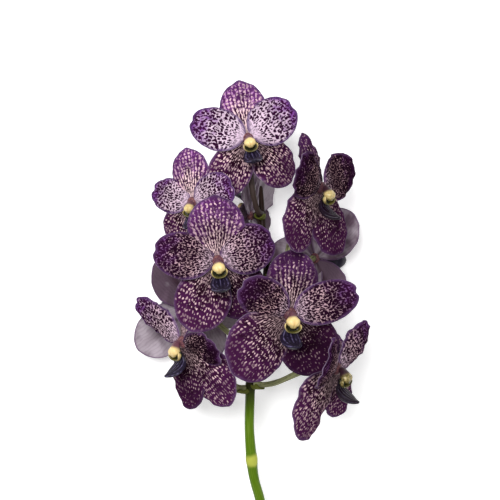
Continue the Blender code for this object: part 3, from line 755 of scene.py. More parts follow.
def lip_dark(colours):
    """The lip, fleshy and waxy: blue-violet, almost black, with paler ridges and painted highlight
    on the rim.

    To the eye it is the darkest and glossiest part of the bloom, ribbed lengthwise.
    """
    made, node = new_material("lip_waxy_blue_violet", WAX_IOR, 0.3, 0.2)
    place = node("NewGeometry").outputs["Position"]
    dark = node("Attribute", DARK).outputs["Fac"]
    high = edge_values(node)[0]
    cloud = node("TexNoise", None, Vector=place, Scale=500.0, Detail=3.0)
    factor = node("Math", "MULTIPLY", high, cloud)
    colour = turned(node, SMOOTH, factor, 0.22, 0.5, 0.0, 0.95, colours.lip, colours.lip_ridge_and_highlight)
    colour = turned(node, None, dark, 0.25, 0.5, 0.0, 0.8, colour, colours.mark)
    gloss = node("MapRange", None, cloud, 0.3, 0.7, 0.24, 0.4)
    return dressed(made, colour, cloud, 0.4, 0.15, gloss)


def stalk_ribbed(colours):
    """Stalk and ovary, matt and ribbed: grey olive with a purple flush on the ribs, which
    deepens towards the stem's tip, along with painted shade there under the blooms."""
    made, node = new_material("stalk_matt_olive", WAX_IOR, 0.5, 0.15)
    place = node("NewGeometry").outputs["Position"]
    high = edge_values(node)[0]
    cloud = node("TexNoise", None, Vector=place, Scale=350.0, Detail=3.0)
    factor = node("Math", "MULTIPLY_ADD", high, 0.5, cloud)
    # Darker towards the stem's tip: deeper flush, and painted shade under the blooms.
    along = node("SeparateXYZ", None, place).outputs["Y"]
    along = node("MapRange", None, along, 60 * MM, 90 * MM, 0.0, 1.2)
    factor = node("Math", "ADD", factor, along)
    colour = turned(node, SMOOTH, factor, 0.6, 1.5, 0.0, 0.95, colours.stalk, colours.stalk_flush_and_shade)
    grain = node("TexNoise", None, Vector=place, Scale=3000.0, Detail=2.0)
    return dressed(made, colour, grain, 0.4, 0.1)


def stem_green(colours):
    """The stem, smooth and waxy: mid green, darker upwards, with a pale yellow leaf scar.

    To the eye it is a satin green rod with fine lengthwise streaks.
    """
    made, node = new_material("stem_waxy_green", WAX_IOR, 0.4, 0.1)
    vein = node("Attribute", VEIN).outputs["Vector"]
    up, scarred = edge_values(node)[:2]
    # Streaks about 0.6 mm wide and 12 mm long.
    drawn = node("VectorMath", "MULTIPLY", vein, (1.6, 0.08, 1.6))
    streaks = node("TexNoise", None, Vector=drawn, Scale=1.0, Detail=3.0)
    cloud = node("TexNoise", None, Vector=vein, Scale=0.12, Detail=2.0)
    # The upper part is darker, partly its own colour and partly painted shade under the blooms.
    upper = node("MapRange", SMOOTH, up, 0.44, 0.55, 0.0, 1.0)
    colour = node("Mix", RGBA, upper, colours.stem, colours.stem_top_and_shade)
    pale = node("MapRange", None, streaks, 0.45, 0.75, 0.0, 0.4)
    lower = node("Math", "SUBTRACT", 1.0, upper)
    pale = node("Math", "MULTIPLY", pale, lower)
    colour = node("Mix", RGBA, pale, colour, linear("#7f9440"))
    scar = node("Math", "MULTIPLY_ADD", cloud, 0.4, scarred)
    colour = turned(node, SMOOTH, scar, 0.6, 1.15, 0.0, 0.95, colour, colours.scar)
    gloss = node("MapRange", None, streaks, 0.3, 0.7, 0.34, 0.48)
    return dressed(made, colour, streaks, 0.5, 0.15, gloss)


def bract_papery(colours):
    """The bracts under the stalks, papery and drying: dull olive with brown streaks."""
    made, node = new_material("bract_papery_olive", WAX_IOR, 0.6, 0.15)
    vein = node("Attribute", VEIN).outputs["Vector"]
    drawn = node("VectorMath", "MULTIPLY", vein, (2.0, 0.4, 1))
    streaks = node("TexNoise", None, Vector=drawn, Scale=1.0, Detail=3.0)
    colour = turned(node, None, streaks, 0.4, 0.7, 0.0, 0.35, colours.bract, linear("#54402a"))
    return dressed(made, colour, streaks, 0.6, 0.15)


def cut_pith(colours):
    """The cut end, moist and fibrous: pale green pith dotted with fibre ends 0.5 mm apart."""
    made, node = new_material("cut_pith_moist", SAP_IOR, 0.35)
    place = node("NewGeometry").outputs["Position"]
    dots = node("TexVoronoi", None, Vector=place, Scale=2000.0)
    colour = turned(node, None, dots, 0.15, 0.45, 0.6, 0.0, colours.pith, linear("#7a8a3c"))
    return dressed(made, colour, dots, 0.5, 0.15)


def pale_surface(colours):
    """Opal acrylic sheet, frosted and faintly lit from below, so that shadows stay soft."""
    made, node = new_material("opal_acrylic_frosted", ACRYLIC_IOR, 0.8)
    place = node("NewGeometry").outputs["Position"]
    grain = node("TexNoise", None, Vector=place, Scale=400.0, Detail=2.0)
    colour = turned(node, None, grain, 0.3, 0.7, 0.0, 1.0, colours.surface, linear("#fafafa"))
    shader = made.node_tree.nodes["Principled BSDF"]
    shader.inputs["Emission Color"].default_value = (1.0, 1.0, 1.0, 1.0)
    shader.inputs["Emission Strength"].default_value = 0.35
    fill(shader.inputs["Base Color"], colour)
    return made


def rotation_of(bloom):
    """The bloom's turn: its own +Z is its face, and its own +Y its upright sepal."""
    yaw = Matrix.Rotation(math.radians(bloom.yaw), 3, "Y")
    pitch = Matrix.Rotation(math.radians(-bloom.pitch), 3, "X")
    roll = Matrix.Rotation(math.radians(bloom.roll), 3, "Z")
    return yaw @ pitch @ roll


def placed(points, bloom):
    """Points of a bloom's own frame, in mm, where the bloom is, in metres."""
    turn = np.array(rotation_of(bloom))
    return (points * bloom.size @ turn.T + np.array(bloom.heart)) * MM


def changed(blade, change):
    """The blade with a bloom's own changes added to its values."""
    return blade._replace(**{key: getattr(blade, key) + value for key, value in change.items()})


def ramp(value, start, span):
    """How far a value has come from start through span, from 0 to 1."""
    return np.clip((value - start) / span, 0, 1)


def near(value, middle, width):
    """How near a value is to a middle one, from 1 down to 0."""
    return np.exp(-(((value - middle) / width) ** 2))


def angles(count):
    """This many angles, evenly round a full turn."""
    return np.linspace(0, TURN, count, endpoint=False)


def threes(*values):
    """Three lists of values, or single ones, as one row of three for each point."""
    return np.stack(np.broadcast_arrays(*values), -1)


class Part:
    """Points, faces, one material number for each face, and values for the points' patterns."""

    def __init__(self, points, faces, slots, vein=None, edge=None, dark=0.0):
        count = len(points)
        self.points = np.asarray(points, float).reshape(count, 3)
        self.faces = faces
        self.slots = slots if isinstance(slots, list) else [slots] * len(faces)
        self.vein = np.zeros((count, 3)) if vein is None else vein
        self.edge = np.zeros((count, 3)) if edge is None else edge
        self.dark = np.full(count, dark)


def add_object(name, data):
    """A new object in the scene."""
    made = bpy.data.objects.new(name, data)
    bpy.context.scene.collection.objects.link(made)
    return made


def add_piece(name, parts, materials):
    """One mesh object of all these parts, in metres."""
    faces = []
    first = 0
    for part in parts:
        faces += [tuple(index + first for index in face) for face in part.faces]
        first += len(part.points)
    mesh = bpy.data.meshes.new(name)
    points = np.concatenate([part.points for part in parts])
    # What rests on the surface is pressed flat against it.
    points[:, 2] = np.maximum(points[:, 2], 0.0)
    mesh.from_pydata(points.tolist(), [], faces)
    for material in materials:
        mesh.materials.append(material)
    mesh.polygons.foreach_set("material_index", [slot for part in parts for slot in part.slots])
    triple, single = ("FLOAT_VECTOR", "vector"), ("FLOAT", "value")
    for label, (kind, field) in {"vein": triple, "edge": triple, "dark": single}.items():
        values = np.concatenate([getattr(part, label) for part in parts]).astype(np.float32)
        mesh.attributes.new(label, kind, "POINT").data.foreach_set(field, values.ravel())
    mesh.shade_smooth()
    mesh.validate()
    return add_object(name, mesh)


def stand_for(piece, node):
    """Lets the piece ride on the one body in place of the solid, which it hides."""
    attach(piece, "root")
    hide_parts(node)


def blade_surface(blade, along, across, seed, sizes):
    """Points of a blade's middle surface and their flat places, in mm, in the blade's frame."""
    flare = np.sin(np.pi / 2 * along**blade.flare)
    half = blade.claw + (blade.half_width - blade.claw) * flare
    end = 1 - blade.round_end * (1 - np.sqrt(np.clip(1 - across**2, 0, None)))
    dip = blade.notch * near(across, 0, NOTCH_WIDTH) * along**6
    reach = blade.length * along * end - dip
    share = reach / blade.length

    curl = math.radians(blade.curl) * 2
    side = half * np.sin(curl * across) / curl
    rise = half * (1 - np.cos(curl * across)) / curl
    start = math.radians(blade.sweep)
    bent = math.radians(blade.bend) * 2 * share
    bent = np.where(np.abs(bent) > 1e-4, bent, 1e-4)
    angle = start + bent
    y = reach / bent * (np.sin(angle) - math.sin(start))
    z = reach / bent * (math.cos(start) - np.cos(angle))
    phase = TURN * RUFFLE_WAVES * share + np.where(across < 0, 0.0, RUFFLE_OFFSET)
    rise = rise + RUFFLE * across**2 * np.sin(math.pi * share) * np.sin(phase)

    # The relief that the solids leave out: frilled rim, grooved midrib, and veins.
    flat_x = half * across
    if sizes:
        round_rim = 1 - (1 - np.abs(across) ** 3) * (1 - along**7)
        frilled = round_rim * ramp(share, 0.12, 0.3)
        turn = np.arctan2(flat_x, reach - 0.55 * blade.length)
        wide, fine = FRILL_WAVES
        waves = np.sin(wide * turn + seed) + 0.5 * np.sin(fine * turn + 2.3 * seed)
        rise = rise + sizes.frill / MM * frilled * waves
        rise = rise - sizes.midrib / MM * near(flat_x, 0, MIDRIB_WIDTH) * (1 - share**2)
        rise = rise + sizes.veins / MM * np.cos(TURN * VEIN_WAVES * across) * (1 - round_rim)
        uneven = np.sin(2.3 * across + seed) * np.sin(3.1 * share + seed)
        rise = rise + UNEVENNESS * uneven * share
    points = threes(side, y - rise * np.sin(angle), z + rise * np.cos(angle))
    return points, np.stack([flat_x, reach], -1)


def blade_solid(blade, rows, columns, seed, sizes, thickness, rim_thickness, slots):
    """A blade with two skins that thin out towards the rim, in its bloom's frame, in mm."""
    along, across = np.meshgrid(
        np.linspace(0, 1, rows + 1),
        np.sin(np.pi * (np.linspace(0, 1, columns + 1) - 0.5)),
        indexing="ij",
    )
    middle, flat = blade_surface(blade, along, across, seed, sizes)
    normal = np.cross(np.gradient(middle, axis=1), np.gradient(middle, axis=0))
    normal[-1] = normal[-2]
    normal[:, 0] = normal[:, 1]
    normal[:, -1] = normal[:, -2]
    normal /= np.linalg.norm(normal, axis=-1, keepdims=True)

    loop = [(0, column) for column in range(columns)]
    loop += [(row, columns) for row in range(rows)]
    loop += [(rows, column) for column in range(columns, 0, -1)]
    loop += [(row, 0) for row in range(rows, 0, -1)]
    outer = np.array([flat[place] for place in loop if place[0] > 0])
    rim = np.linalg.norm(flat[:, :, None] - outer, axis=-1).min(-1)
    thin, thick = rim_thickness / 2, thickness / 2
    half = thin + (thick - thin) * ramp(rim, 0, THIN_WIDTH) ** 0.6
    twist = np.array(Matrix.Rotation(math.radians(blade.twist), 3, "Y"))
    turn = np.array(Matrix.Rotation(math.radians(blade.turn), 3, "Z"))
    root = np.array((0, BLADE_ROOT, blade.lift))
    skins = []
    for sign in (1, -1):
        skin = middle + normal * (sign * half[..., None])
        skins.append(((skin @ twist.T + root) @ turn.T).reshape(-1, 3))

    width = columns + 1
    back = (rows + 1) * width
    first = [row * width + column for row in range(rows) for column in range(columns)]
    faces = [(a, a + 1, a + width + 1, a + width) for a in first]
    reverse = [tuple(back + index for index in face[::-1]) for face in faces]
    numbers = [row * width + column for row, column in loop]
    pairs = zip(numbers, numbers[1:] + numbers[:1])
    strip = [(here, here + back, after + back, after) for here, after in pairs]
    front_slot, back_slot = slots
    marks = [front_slot] * len(faces) + [back_slot] * len(reverse) + [front_slot] * len(strip)

    share = flat[..., 1] / blade.length
    vein = threes(across * blade.half_width + seed * 37.0, flat[..., 1] + seed * 53.0, 0.0)
    edge = threes(across, share, rim)
    vein, edge = (np.concatenate([v.reshape(-1, 3)] * 2) for v in (vein, edge))
    return np.concatenate(skins), faces + reverse + strip, marks, vein, edge


def swept(rings, cap_start=True, cap_end=True):
    """Points and faces of a body through rings of as many points each, an array (n, m, 3)."""
    count, sides = rings.shape[:2]
    faces = []
    for low in range(0, (count - 1) * sides, sides):
        high = low + sides
        for side, after in zip(range(sides), [*range(1, sides), 0]):
            faces.append((low + side, low + after, high + after, high + side))
    if cap_start:
        faces.append(tuple(reversed(range(sides))))
    if cap_end:
        faces.append(tuple(range(sides * (count - 1), sides * count)))
    return rings.reshape(-1, 3), faces


def on_curve(before, start, end, after, t):
    """The place t of the way from start to end, on a smooth curve (Catmull-Rom)."""
    curve = 2 * start + (end - before) * t
    curve += (2 * before - 5 * start + 4 * end - after) * t**2
    curve += (3 * start - before - 3 * end + after) * t**3
    return curve / 2


def through(stations, count):
    """Evenly counted values on smooth curves through these stations."""
    stations = np.array(stations, float)
    place = np.linspace(0, len(stations) - 1, count)
    low = np.minimum(place.astype(int), len(stations) - 2)
    t = (place - low)[:, None]
    before = stations[np.maximum(low - 1, 0)]
    after = stations[np.minimum(low + 2, len(stations) - 1)]
    return on_curve(before, stations[low], stations[low + 1], after, t)


def bead(stations, rings, sides, shape):
    """A rounded limb through stations in the bloom's YZ plane, closed by domes, in mm.

    shape takes the share along the limb and the angle round it, and gives what is added to the
    offset across and to the offset outwards.
    """
    dense = through(stations, rings)
    middle = threes(0.0, dense[:, 0], dense[:, 1])
    along = np.gradient(middle, axis=0)
    along /= np.linalg.norm(along, axis=-1, keepdims=True)
    up = np.cross(along, (1.0, 0.0, 0.0))
    # Each ring's station, how far beyond it the ring lies, and its share of the full width.
    caps = [cap * math.pi / 2 for cap in DOME_RINGS]
    domes = [(math.cos(cap), math.sin(cap)) for cap in caps]
    made = [(0, -dense[0, 3] * 0.5 * out, wide) for out, wide in domes]
    made += [(place, 0.0, 1.0) for place in range(rings)]
    made += [(rings - 1, dense[-1, 3] * 0.7 * out, wide) for out, wide in domes[::-1]]
    turn = angles(sides)
    body = []
    for place, beyond, wide in made:
        across, outward = shape(place / (rings - 1), turn)
        x = (np.cos(turn) * dense[place, 2] + across) * wide
        rise = (np.sin(turn) * dense[place, 3] + outward) * wide
        centre = middle[place] + along[place] * beyond
        body.append(centre + threes(x, 0.0, 0.0) + rise[:, None] * up[place])
    return np.array(body)


def spread_over(rings):
    """For each point of these rings, its share of the way along and its angle round."""
    count, sides = rings.shape[:2]
    return np.repeat(np.linspace(0, 1, count), sides), np.tile(angles(sides), count)


def grown(bloom, rings, slot=0, edge=None, dark=0.0):
    """The body through these rings of a bloom's own frame, where the bloom is."""
    points, faces = swept(rings)
    return Part(placed(points, bloom), faces, slot, None, edge, dark)


def hub_part(bloom, dark):
    """The hub that carries the blades, as a rounded body of revolution."""
    profile = through((*HUB, HUB_FRONT), HUB_STEPS[0])
    turn = angles(HUB_STEPS[1])
    forward, radius = profile[:, :1], profile[:, 1:]
    rings = threes(radius * np.cos(turn), radius * np.sin(turn), forward)
    return grown(bloom, rings, 4, None, dark)


def bloom_blades(sizes, key, bloom):
    """The hub and the five blades of one bloom, each with its own patterned front."""
    parts = [hub_part(bloom, DARKNESS[key])]
    fronts = {"dorsal": 0, "petal_left": 1, "petal_right": 1, "sepal_left": 2, "sepal_right": 2}
    low = bloom.heart[2] < LOW_HEART
    steps = (sizes.steps_along, sizes.steps_across)
    rows, columns = (count * 3 // 4 if low else count for count in steps)
    for number, (name, blade) in enumerate(BLADES.items()):
        own = changed(changed(blade, bloom.changes.get(name, {})), FINE_ENDS[name])
        seed = int(key) * 1.7 + number * 0.9
        thickness, rim_thickness = sizes.thickness / MM, sizes.rim_thickness / MM
        slots = (fronts[name], 3)
        made = blade_solid(own, rows, columns, seed, sizes, thickness, rim_thickness, slots)
        points, faces, marks, vein, edge = made
        # A blade's own darkness, with painted shade on blades that lie in shadow.
        dark = DARKNESS[key] + DARKER_AND_SHADED.get(key, {}).get(name, 0.0)
        parts.append(Part(placed(points, bloom), faces, marks, vein, edge, dark))
    return parts


def column_parts(key, bloom):
    """The column with its grooved ball, the two side lobes and the throat between them.

    Their edge values are how near a point lies to the groove and to the column's root, and how
    olive it turns under the ball or on a side lobe, which is painted shade there, over a little
    olive of the lobes' own. The throat's is the angle round it.
    """
    aged = AGED.get(key, 0.0)

    def ball(share, turn):
        late = ramp(share, 0.55, 0.3)
        groove = near(turn, math.pi / 2, 0.24) * late
        lobes = near(turn, math.pi / 2, 0.9) * late
        knobs = 0.14 * np.sin(3 * turn + 9 * share) + 0.1 * np.sin(5 * turn - 14 * share)
        return knobs * np.cos(turn), 0.25 * lobes - 0.75 * groove + knobs * np.sin(turn)

    rings = bead(COLUMN, *COLUMN_STEPS, ball)
    share, turn = spread_over(rings)
    line = 0.5 * near(turn, math.pi / 2, 0.2) * ramp(share, 0.6, 0.2)
    # The underside of the ball takes painted shade.
    edge = threes(line, ramp(share, 0.5, -0.14), 0.55 * ramp(share, 0.82, 0.15))
    parts = [grown(bloom, rings, 0, edge, aged)]

    # The side lobes: an open ring that stands tallest at its two sides.
    y, z = THROAT_CENTRE
    section = angles(LOBE_STEPS[1])
    rings, olive = [], []
    for share in np.linspace(0, 1, LOBE_STEPS[0]):
        turn = math.radians(THROAT_START + THROAT_SWEEP * share)
        taper = min(1.0, share / 0.12, (1 - share) / 0.12) ** 0.5
        tall = abs(math.cos(turn)) ** 1.5
        reach = 0.25 + taper * (0.35 + 0.12 * math.sin(5 * turn))
        wide = np.cos(section) * reach + np.sin(section) * 0.35
        high = 0.5 * tall + np.sin(section) * (0.3 + taper * (0.6 + 0.9 * tall))
        x = (THROAT_RADII[0] + wide) * math.cos(turn)
        rings.append(threes(x, y + (THROAT_RADII[1] + wide) * math.sin(turn), z + high))
        # Painted shade on the lobes: more olive on their lower part and on their side towards the
        # throat.
        low = np.clip(0.1 - math.sin(turn), 0, 1)
        olive.append(np.clip(0.25 + 0.75 * low - 0.5 * np.cos(section), 0, 1))
    edge = threes(0.0, 0.0, np.concatenate(olive))
    parts.append(grown(bloom, np.array(rings), 0, edge, aged))

    turn = angles(THROAT_STEPS)
    reach, forward = np.array(THROAT).T[..., None]
    x = reach * np.cos(turn) * THROAT_RADII[0]
    rings = threes(x, y + reach * np.sin(turn) * THROAT_RADII[1], forward)
    parts.append(grown(bloom, rings, 1, threes(spread_over(rings)[1], 0.0, 0.0)))
    return parts


def lip_parts(key, bloom):
    """The fleshy lip, with lengthwise ridges on its upper side and a raised rim.

    Its edge value is how high a point stands on a ridge, and the painted highlight along the rim.
    """

    def ridges(share, turn):
        inside = np.clip(np.sin(turn) * 3, 0, 1) * math.sin(math.pi * min(1.0, share * 1.1)) ** 0.5
        wave = np.cos(TURN * np.cos(turn) / LIP_RIDGE_PITCH)
        return 0.0, LIP_RIDGE_HEIGHT * wave * inside

    rings = bead(LIP, *LIP_STEPS, ridges)
    share, turn = spread_over(rings)
    wave = 0.5 + 0.5 * np.cos(TURN * np.cos(turn) / LIP_RIDGE_PITCH)
    top = np.clip(np.sin(turn) * 3, 0, 1) * np.sin(math.pi * np.clip(share * 1.05, 0, 1)) ** 0.5
    # A pale line along the rim's two sides towards the tip, a painted highlight.
    rim = near(np.abs(np.cos(turn)), 1.0, 0.12) * ramp(share, 0.45, 0.2)
    edge = threes(np.clip(wave**3 * top + 0.6 * rim, 0, 1), 0.0, 0.0)
    return [grown(bloom, rings, 0, edge, AGED.get(key, 0.0))]


def smooth_path(points, count):
    """Evenly spread points on a smooth curve through these, and its length."""
    dense = []
    for first in range(len(points) - 1):
        before = points[max(first - 1, 0)]
        after = points[min(first + 2, len(points) - 1)]
        for step in range(PATH_STEPS):
            t = step / PATH_STEPS
            dense.append(on_curve(before, points[first], points[first + 1], after, t))
    dense.append(points[-1])
    lengths = [0.0]
    for first, second in zip(dense, dense[1:]):
        lengths.append(lengths[-1] + (second - first).xyz.length)
    spread = []
    place = 0
    for step in range(count):
        wanted = lengths[-1] * step / (count - 1)
        while place < len(dense) - 2 and lengths[place + 1] < wanted:
            place += 1
        share = (wanted - lengths[place]) / (lengths[place + 1] - lengths[place])
        spread.append(dense[place].lerp(dense[place + 1], min(1.0, share)))
    return spread, lengths[-1]


def stem_at(distance):
    """The stem's middle point, its direction and its radius, in mm, this far from the cut end."""
    line, length = smooth_path([Vector(point) for point in STEM_POINTS], STEM_SAMPLES)
    place = distance / length * (len(line) - 1)
    low = min(int(place), len(line) - 2)
    here = line[low].lerp(line[low + 1], place - low)
    along = (line[low + 1] - line[low]).xyz.normalized()
    return here.xyz, along, here.w


def stalk_path(bloom, count):
    """The stalk's middle line in mm, from the stem's side to just behind the bloom's hub."""
    turn = rotation_of(bloom)
    face = turn @ Vector((0, 0, 1))
    end = Vector(bloom.heart) + face * (HUB[0][0] * bloom.size - STALK_GAP)
    centre, along, radius = stem_at(bloom.node)
    out = end - centre
    out = (out - along * out.dot(along)).normalized()
    start = centre + out * (radius + STALK_GAP)
    pull = (end - start).length
    first = start + out * pull * STALK_PULL_OUT
    second = end - face * pull * STALK_PULL_IN
    path = []
    for step in range(count):
        t = step / (count - 1)
        middle = first.lerp(second, t)
        early, late = start.lerp(first, t).lerp(middle, t), middle.lerp(second.lerp(end, t), t)
        path.append(early.lerp(late, t))
    return path


def frames_along(path):
    """Two directions square to a path at each of its points, turned as little as possible."""
    side = None
    made = []
    for place, point in enumerate(path):
        ahead = path[min(place + 1, len(path) - 1)]
        behind = path[max(place - 1, 0)]
        along = (ahead - behind).normalized()
        if side is None:
            side = along.orthogonal().normalized()
        side = (side - along * side.dot(along)).normalized()
        made.append((np.array(point), np.array(side), np.array(along.cross(side))))
    return made


def around(middle, side, up, turn, radius):
    """A ring's offsets from its middle, radius away at each angle, and its points."""
    offset = (np.cos(turn) * radius)[:, None] * side + (np.sin(turn) * radius)[:, None] * up
    return offset, middle + offset


def stalk_parts(bloom):
    """The stalk and the ribbed ovary that it widens into, turned half round like the real one.

    Its edge value is how high a point stands on a rib.
    """
    steps, sides = STALK_STEPS
    shares = np.linspace(0, 1, steps)
    radii = np.interp(shares, np.linspace(0, 1, len(STALK_RADII)), STALK_RADII)
    turn = angles(sides)
    rings, heights = [], []
    for share, radius, frame_here in zip(shares, radii, frames_along(stalk_path(bloom, steps))):
        wave = np.cos(STALK_RIBS * (turn + math.pi * share))
        radius = radius * (1 + 0.1 * wave * min(1.0, 0.3 + share))
        radius = radius * (1 + 0.25 * near(share, 1.0, 0.05) + 0.3 * near(share, 0.0, 0.06))
        rings.append(around(*frame_here, turn, radius)[1])
        heights.append(0.5 + 0.5 * wave)
    points, faces = swept(np.array(rings))
    return [Part(points * MM, faces, 0, None, threes(np.concatenate(heights), 0.0, 0.0))]


def stem_rod():
    """The stem, grooved and knotted, and its cut end, where the pith is sunk by drying."""
    steps, sides = STEM_STEPS
    line, length = smooth_path([Vector(point) for point in STEM_POINTS], steps)
    scar_y = STEM_POINTS[STEM_NODE][1]
    scar = min(range(steps), key=lambda place: abs(line[place].y - scar_y)) / (steps - 1) * length
    turn = angles(sides)
    rings, vein, edge = [], [], []
    for place, frame_here in enumerate(frames_along([point.xyz for point in line])):
        share = place / (steps - 1)
        distance = share * length
        knots = sum(near(distance, bloom.node, 2.2) for bloom in BLOOMS.values())
        radius = line[place].w * (1 + 0.02 * np.cos(7 * turn + 2 * math.sin(share * 9)))
        radius = radius + 0.22 * knots + 0.5 * near(distance, scar, 3.5)
        radius = radius * (1 - 0.35 * near(share, 1.0, 0.004))
        radius = radius * (1 - 0.04 * near(share, 0.0, 0.003))
        offset, ring = around(*frame_here, turn, radius)
        rings.append(ring)
        vein.append(threes(offset[:, 0], distance, offset[:, 2]))
        # The scar is strongest on the side that looks up and to the right.
        upward = 0.8 + (0.12 * offset[:, 0] + 0.25 * offset[:, 2]) / radius
        edge.append(threes(share, near(distance, scar, 6.0) * upward, 0.0))
    points, faces = swept(np.array(rings), cap_start=False)
    rod = Part(points * MM, faces, 0, np.concatenate(vein), np.concatenate(edge))

    middle = rings[0].mean(0)
    inward = np.array((line[3] - line[0]).xyz.normalized())
    caps = [middle + (rings[0] - middle) * reach + inward * depth for reach, depth in CUT_END[::-1]]
    points, faces = swept(np.array(caps), cap_end=False)
    return [rod, Part(points * MM, faces, 2)]


def bract_parts():
    """The bract under every stalk."""
    parts = []
    for key, bloom in BLOOMS.items():
        centre, along, radius = stem_at(bloom.node)
        out = (stalk_path(bloom, 2)[0] - centre).normalized()
        seat = centre - along * (STALK_RADII[0] + BRACT_DROP) + out * (radius - BRACT_ROOT)
        axes = np.array(Matrix((-along.cross(out), out, along)))
        seed = int(key) * 1.3
        made = blade_solid(BRACT, BRACT_STEPS, BRACT_STEPS, seed, None, *BRACT_THICKNESS, (1, 1))
        points, faces, marks, vein, edge = made
        parts.append(Part((np.array(seat) + points @ axes) * MM, faces, marks, vein, edge))
    return parts


def add_to_blooms(name, kind, parts_of, materials):
    """Adds a piece of this name to every bloom, in place of its solid of this kind."""
    for key, bloom in BLOOMS.items():
        made = add_piece(f"{name}_{key}", parts_of(key, bloom), materials)
        stand_for(made, f"bloom_{key}_{kind}")
    return {"FINISHED"}


class ORCHID_OT_blades(bpy.types.Operator):
    """Builds the hub, petals and sepals of every bloom"""

    bl_idname = "orchid.blades"
    bl_label = "Petals and sepals"

    def execute(self, context):
        sizes, colours = context.scene.orchid_sizes, context.scene.orchid_colours
        upper = Front(
            ground=colours.dorsal,
            ground_end=colours.dorsal_tip,
            marks=colours.mark_pale,
            marks_end=colours.dorsal_mark,
            net_root=0.15,
            net_end=0.08,
            side=0.35,
            dull=0.6,
            widen=1.2,
            stretch=2.0,
            turn_from=0.3,
            turn_to=0.95,
            clear=0.9,
            dashes=1.0,
            dash_end=0.6,
            dash_width=3.1,
            dash_length=2.8,
            disorder=0.62,
            streak_end=0.9,
            between=0.9,
        )
        petal = Front(
            ground=colours.petal_base,
            ground_end=colours.petal_tip,
            marks=colours.mark_pale,
            marks_end=colours.mark_tip,
            net_root=0.2,
            net_end=0.13,
            dull=1.0,
            turn_from=0.45,
            turn_to=1.0,
            clear=0.6,
            shade=0.1,
        )
        side = Front(
            ground=colours.dash,
            ground_end=colours.sepal_tip,
            marks=colours.sepal,
            marks_end=colours.sepal_tip,
            net_root=-0.05,
            net_end=-0.2,
            side=0.2,
            dull=0.0,
            widen=0.8,
            stretch=1.2,
            turn_from=0.3,
            turn_to=0.8,
            shade=0.6,
            dashes=1.0,
            dash_end=0.35,
            dash_width=2.1,
            dash_length=3.7,
            disorder=0.55,
            streak_end=0.38,
            between=0.6,
        )
        materials = [
            petal_front("upper_sepal_waxy_spotted", upper, colours, sizes),
            petal_front("petal_waxy_mosaic", petal, colours, sizes),
            petal_front("side_sepal_waxy_dark", side, colours, sizes),
            petal_reverse(colours),
            hub_neck(colours),
        ]
        return add_to_blooms("petals", "blades", partial(bloom_blades, sizes), materials)


class ORCHID_OT_columns(bpy.types.Operator):
    """Builds the column, side lobes and throat of every bloom"""

    bl_idname = "orchid.columns"
    bl_label = "Columns"

    def execute(self, context):
        colours = context.scene.orchid_colours
        materials = [column_cream(colours), throat_dark(colours)]
        return add_to_blooms("column", "column", column_parts, materials)


class ORCHID_OT_lips(bpy.types.Operator):
    """Builds the lip of every bloom"""

    bl_idname = "orchid.lips"
    bl_label = "Lips"

    def execute(self, context):
        materials = [lip_dark(context.scene.orchid_colours)]
        return add_to_blooms("lip", "lip", lip_parts, materials)


class ORCHID_OT_stalks(bpy.types.Operator):
    """Builds the stalk and ovary of every bloom"""

    bl_idname = "orchid.stalks"
    bl_label = "Stalks"

    def execute(self, context):
        materials = [stalk_ribbed(context.scene.orchid_colours)]
        return add_to_blooms("stalk", "stalk", lambda key, bloom: stalk_parts(bloom), materials)


class ORCHID_OT_stem(bpy.types.Operator):
    """Builds the stem with its bracts and its cut end"""

    bl_idname = "orchid.stem"
    bl_label = "Stem"

    def execute(self, context):
        colours = context.scene.orchid_colours
        materials = [stem_green(colours), bract_papery(colours), cut_pith(colours)]
        made = add_piece("stem_with_bracts", stem_rod() + bract_parts(), materials)
        stand_for(made, "stem")
        return {"FINISHED"}


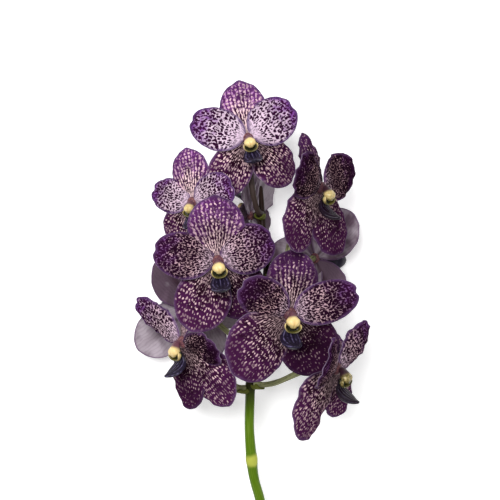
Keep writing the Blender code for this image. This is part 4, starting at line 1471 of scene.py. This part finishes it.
class ORCHID_OT_stage(bpy.types.Operator):
    """Builds the pale surface, the soft light and the camera over the stem"""

    bl_idname = "orchid.stage"
    bl_label = "Surface, light and camera"

    def execute(self, context):
        scene = context.scene
        mesh = bpy.data.meshes.new("pale_surface")
        corners = ((-1, -1), (1, -1), (1, 1), (-1, 1))
        corners = [(x * SURFACE_HALF, y * SURFACE_HALF, 0) for x, y in corners]
        mesh.from_pydata(corners, [], [(0, 1, 2, 3)])
        mesh.materials.append(pale_surface(scene.orchid_colours))
        surface = add_object("pale_surface", mesh)

        world = bpy.data.worlds.new("soft_light")
        world.use_nodes = True
        sky = world.node_tree.nodes["Background"]
        sky.inputs["Color"].default_value = (1, 1, 1, 1)
        sky.inputs["Strength"].default_value = WORLD_STRENGTH
        scene.world = world
        for name, (place, size, power) in LAMPS.items():
            light = bpy.data.lights.new(name, "AREA")
            light.shape = "DISK"
            light.size = size
            light.energy = power
            lamp = add_object(name, light)
            lamp.location = place
            aim = Vector(LAMPS_AIM) - Vector(place)
            lamp.rotation_euler = aim.to_track_quat("-Z", "Y").to_euler()

        camera = add_object("camera_over_stem", bpy.data.cameras.new("camera_over_stem"))
        camera.location = CAMERA_PLACE
        camera.data.lens = CAMERA_LENS
        camera.data.sensor_width = 36.0
        camera.data.clip_start = 0.01
        scene.camera = camera
        scene.view_settings.view_transform = "Standard"
        return {"FINISHED"}


class ORCHID_PT_panel(bpy.types.Panel):
    """Sizes, colours and building steps of the orchid stem"""

    bl_idname = "ORCHID_PT_panel"
    bl_label = "Cut vanda orchid"
    bl_space_type = "VIEW_3D"
    bl_region_type = "UI"
    bl_category = "Orchid"

    def draw(self, context):
        layout = self.layout
        for group in (context.scene.orchid_sizes, context.scene.orchid_colours):
            box = layout.box()
            for name in type(group).__annotations__:
                box.prop(group, name)
        for step in STEPS:
            layout.operator(step.bl_idname)


STEPS = (
    ORCHID_OT_blades,
    ORCHID_OT_columns,
    ORCHID_OT_lips,
    ORCHID_OT_stalks,
    ORCHID_OT_stem,
    ORCHID_OT_stage,
)
CLASSES = (OrchidSizes, OrchidColours, *STEPS, ORCHID_PT_panel)


def register():
    for made in CLASSES:
        bpy.utils.register_class(made)
    bpy.types.Scene.orchid_sizes = PointerProperty(type=OrchidSizes)
    bpy.types.Scene.orchid_colours = PointerProperty(type=OrchidColours)


def unregister():
    del bpy.types.Scene.orchid_colours
    del bpy.types.Scene.orchid_sizes
    for made in reversed(CLASSES):
        bpy.utils.unregister_class(made)


def main():
    register()
    bpy.ops.orchid.blades()
    bpy.ops.orchid.columns()
    bpy.ops.orchid.lips()
    bpy.ops.orchid.stalks()
    bpy.ops.orchid.stem()
    bpy.ops.orchid.stage()


if __name__ == "__main__":
    main()
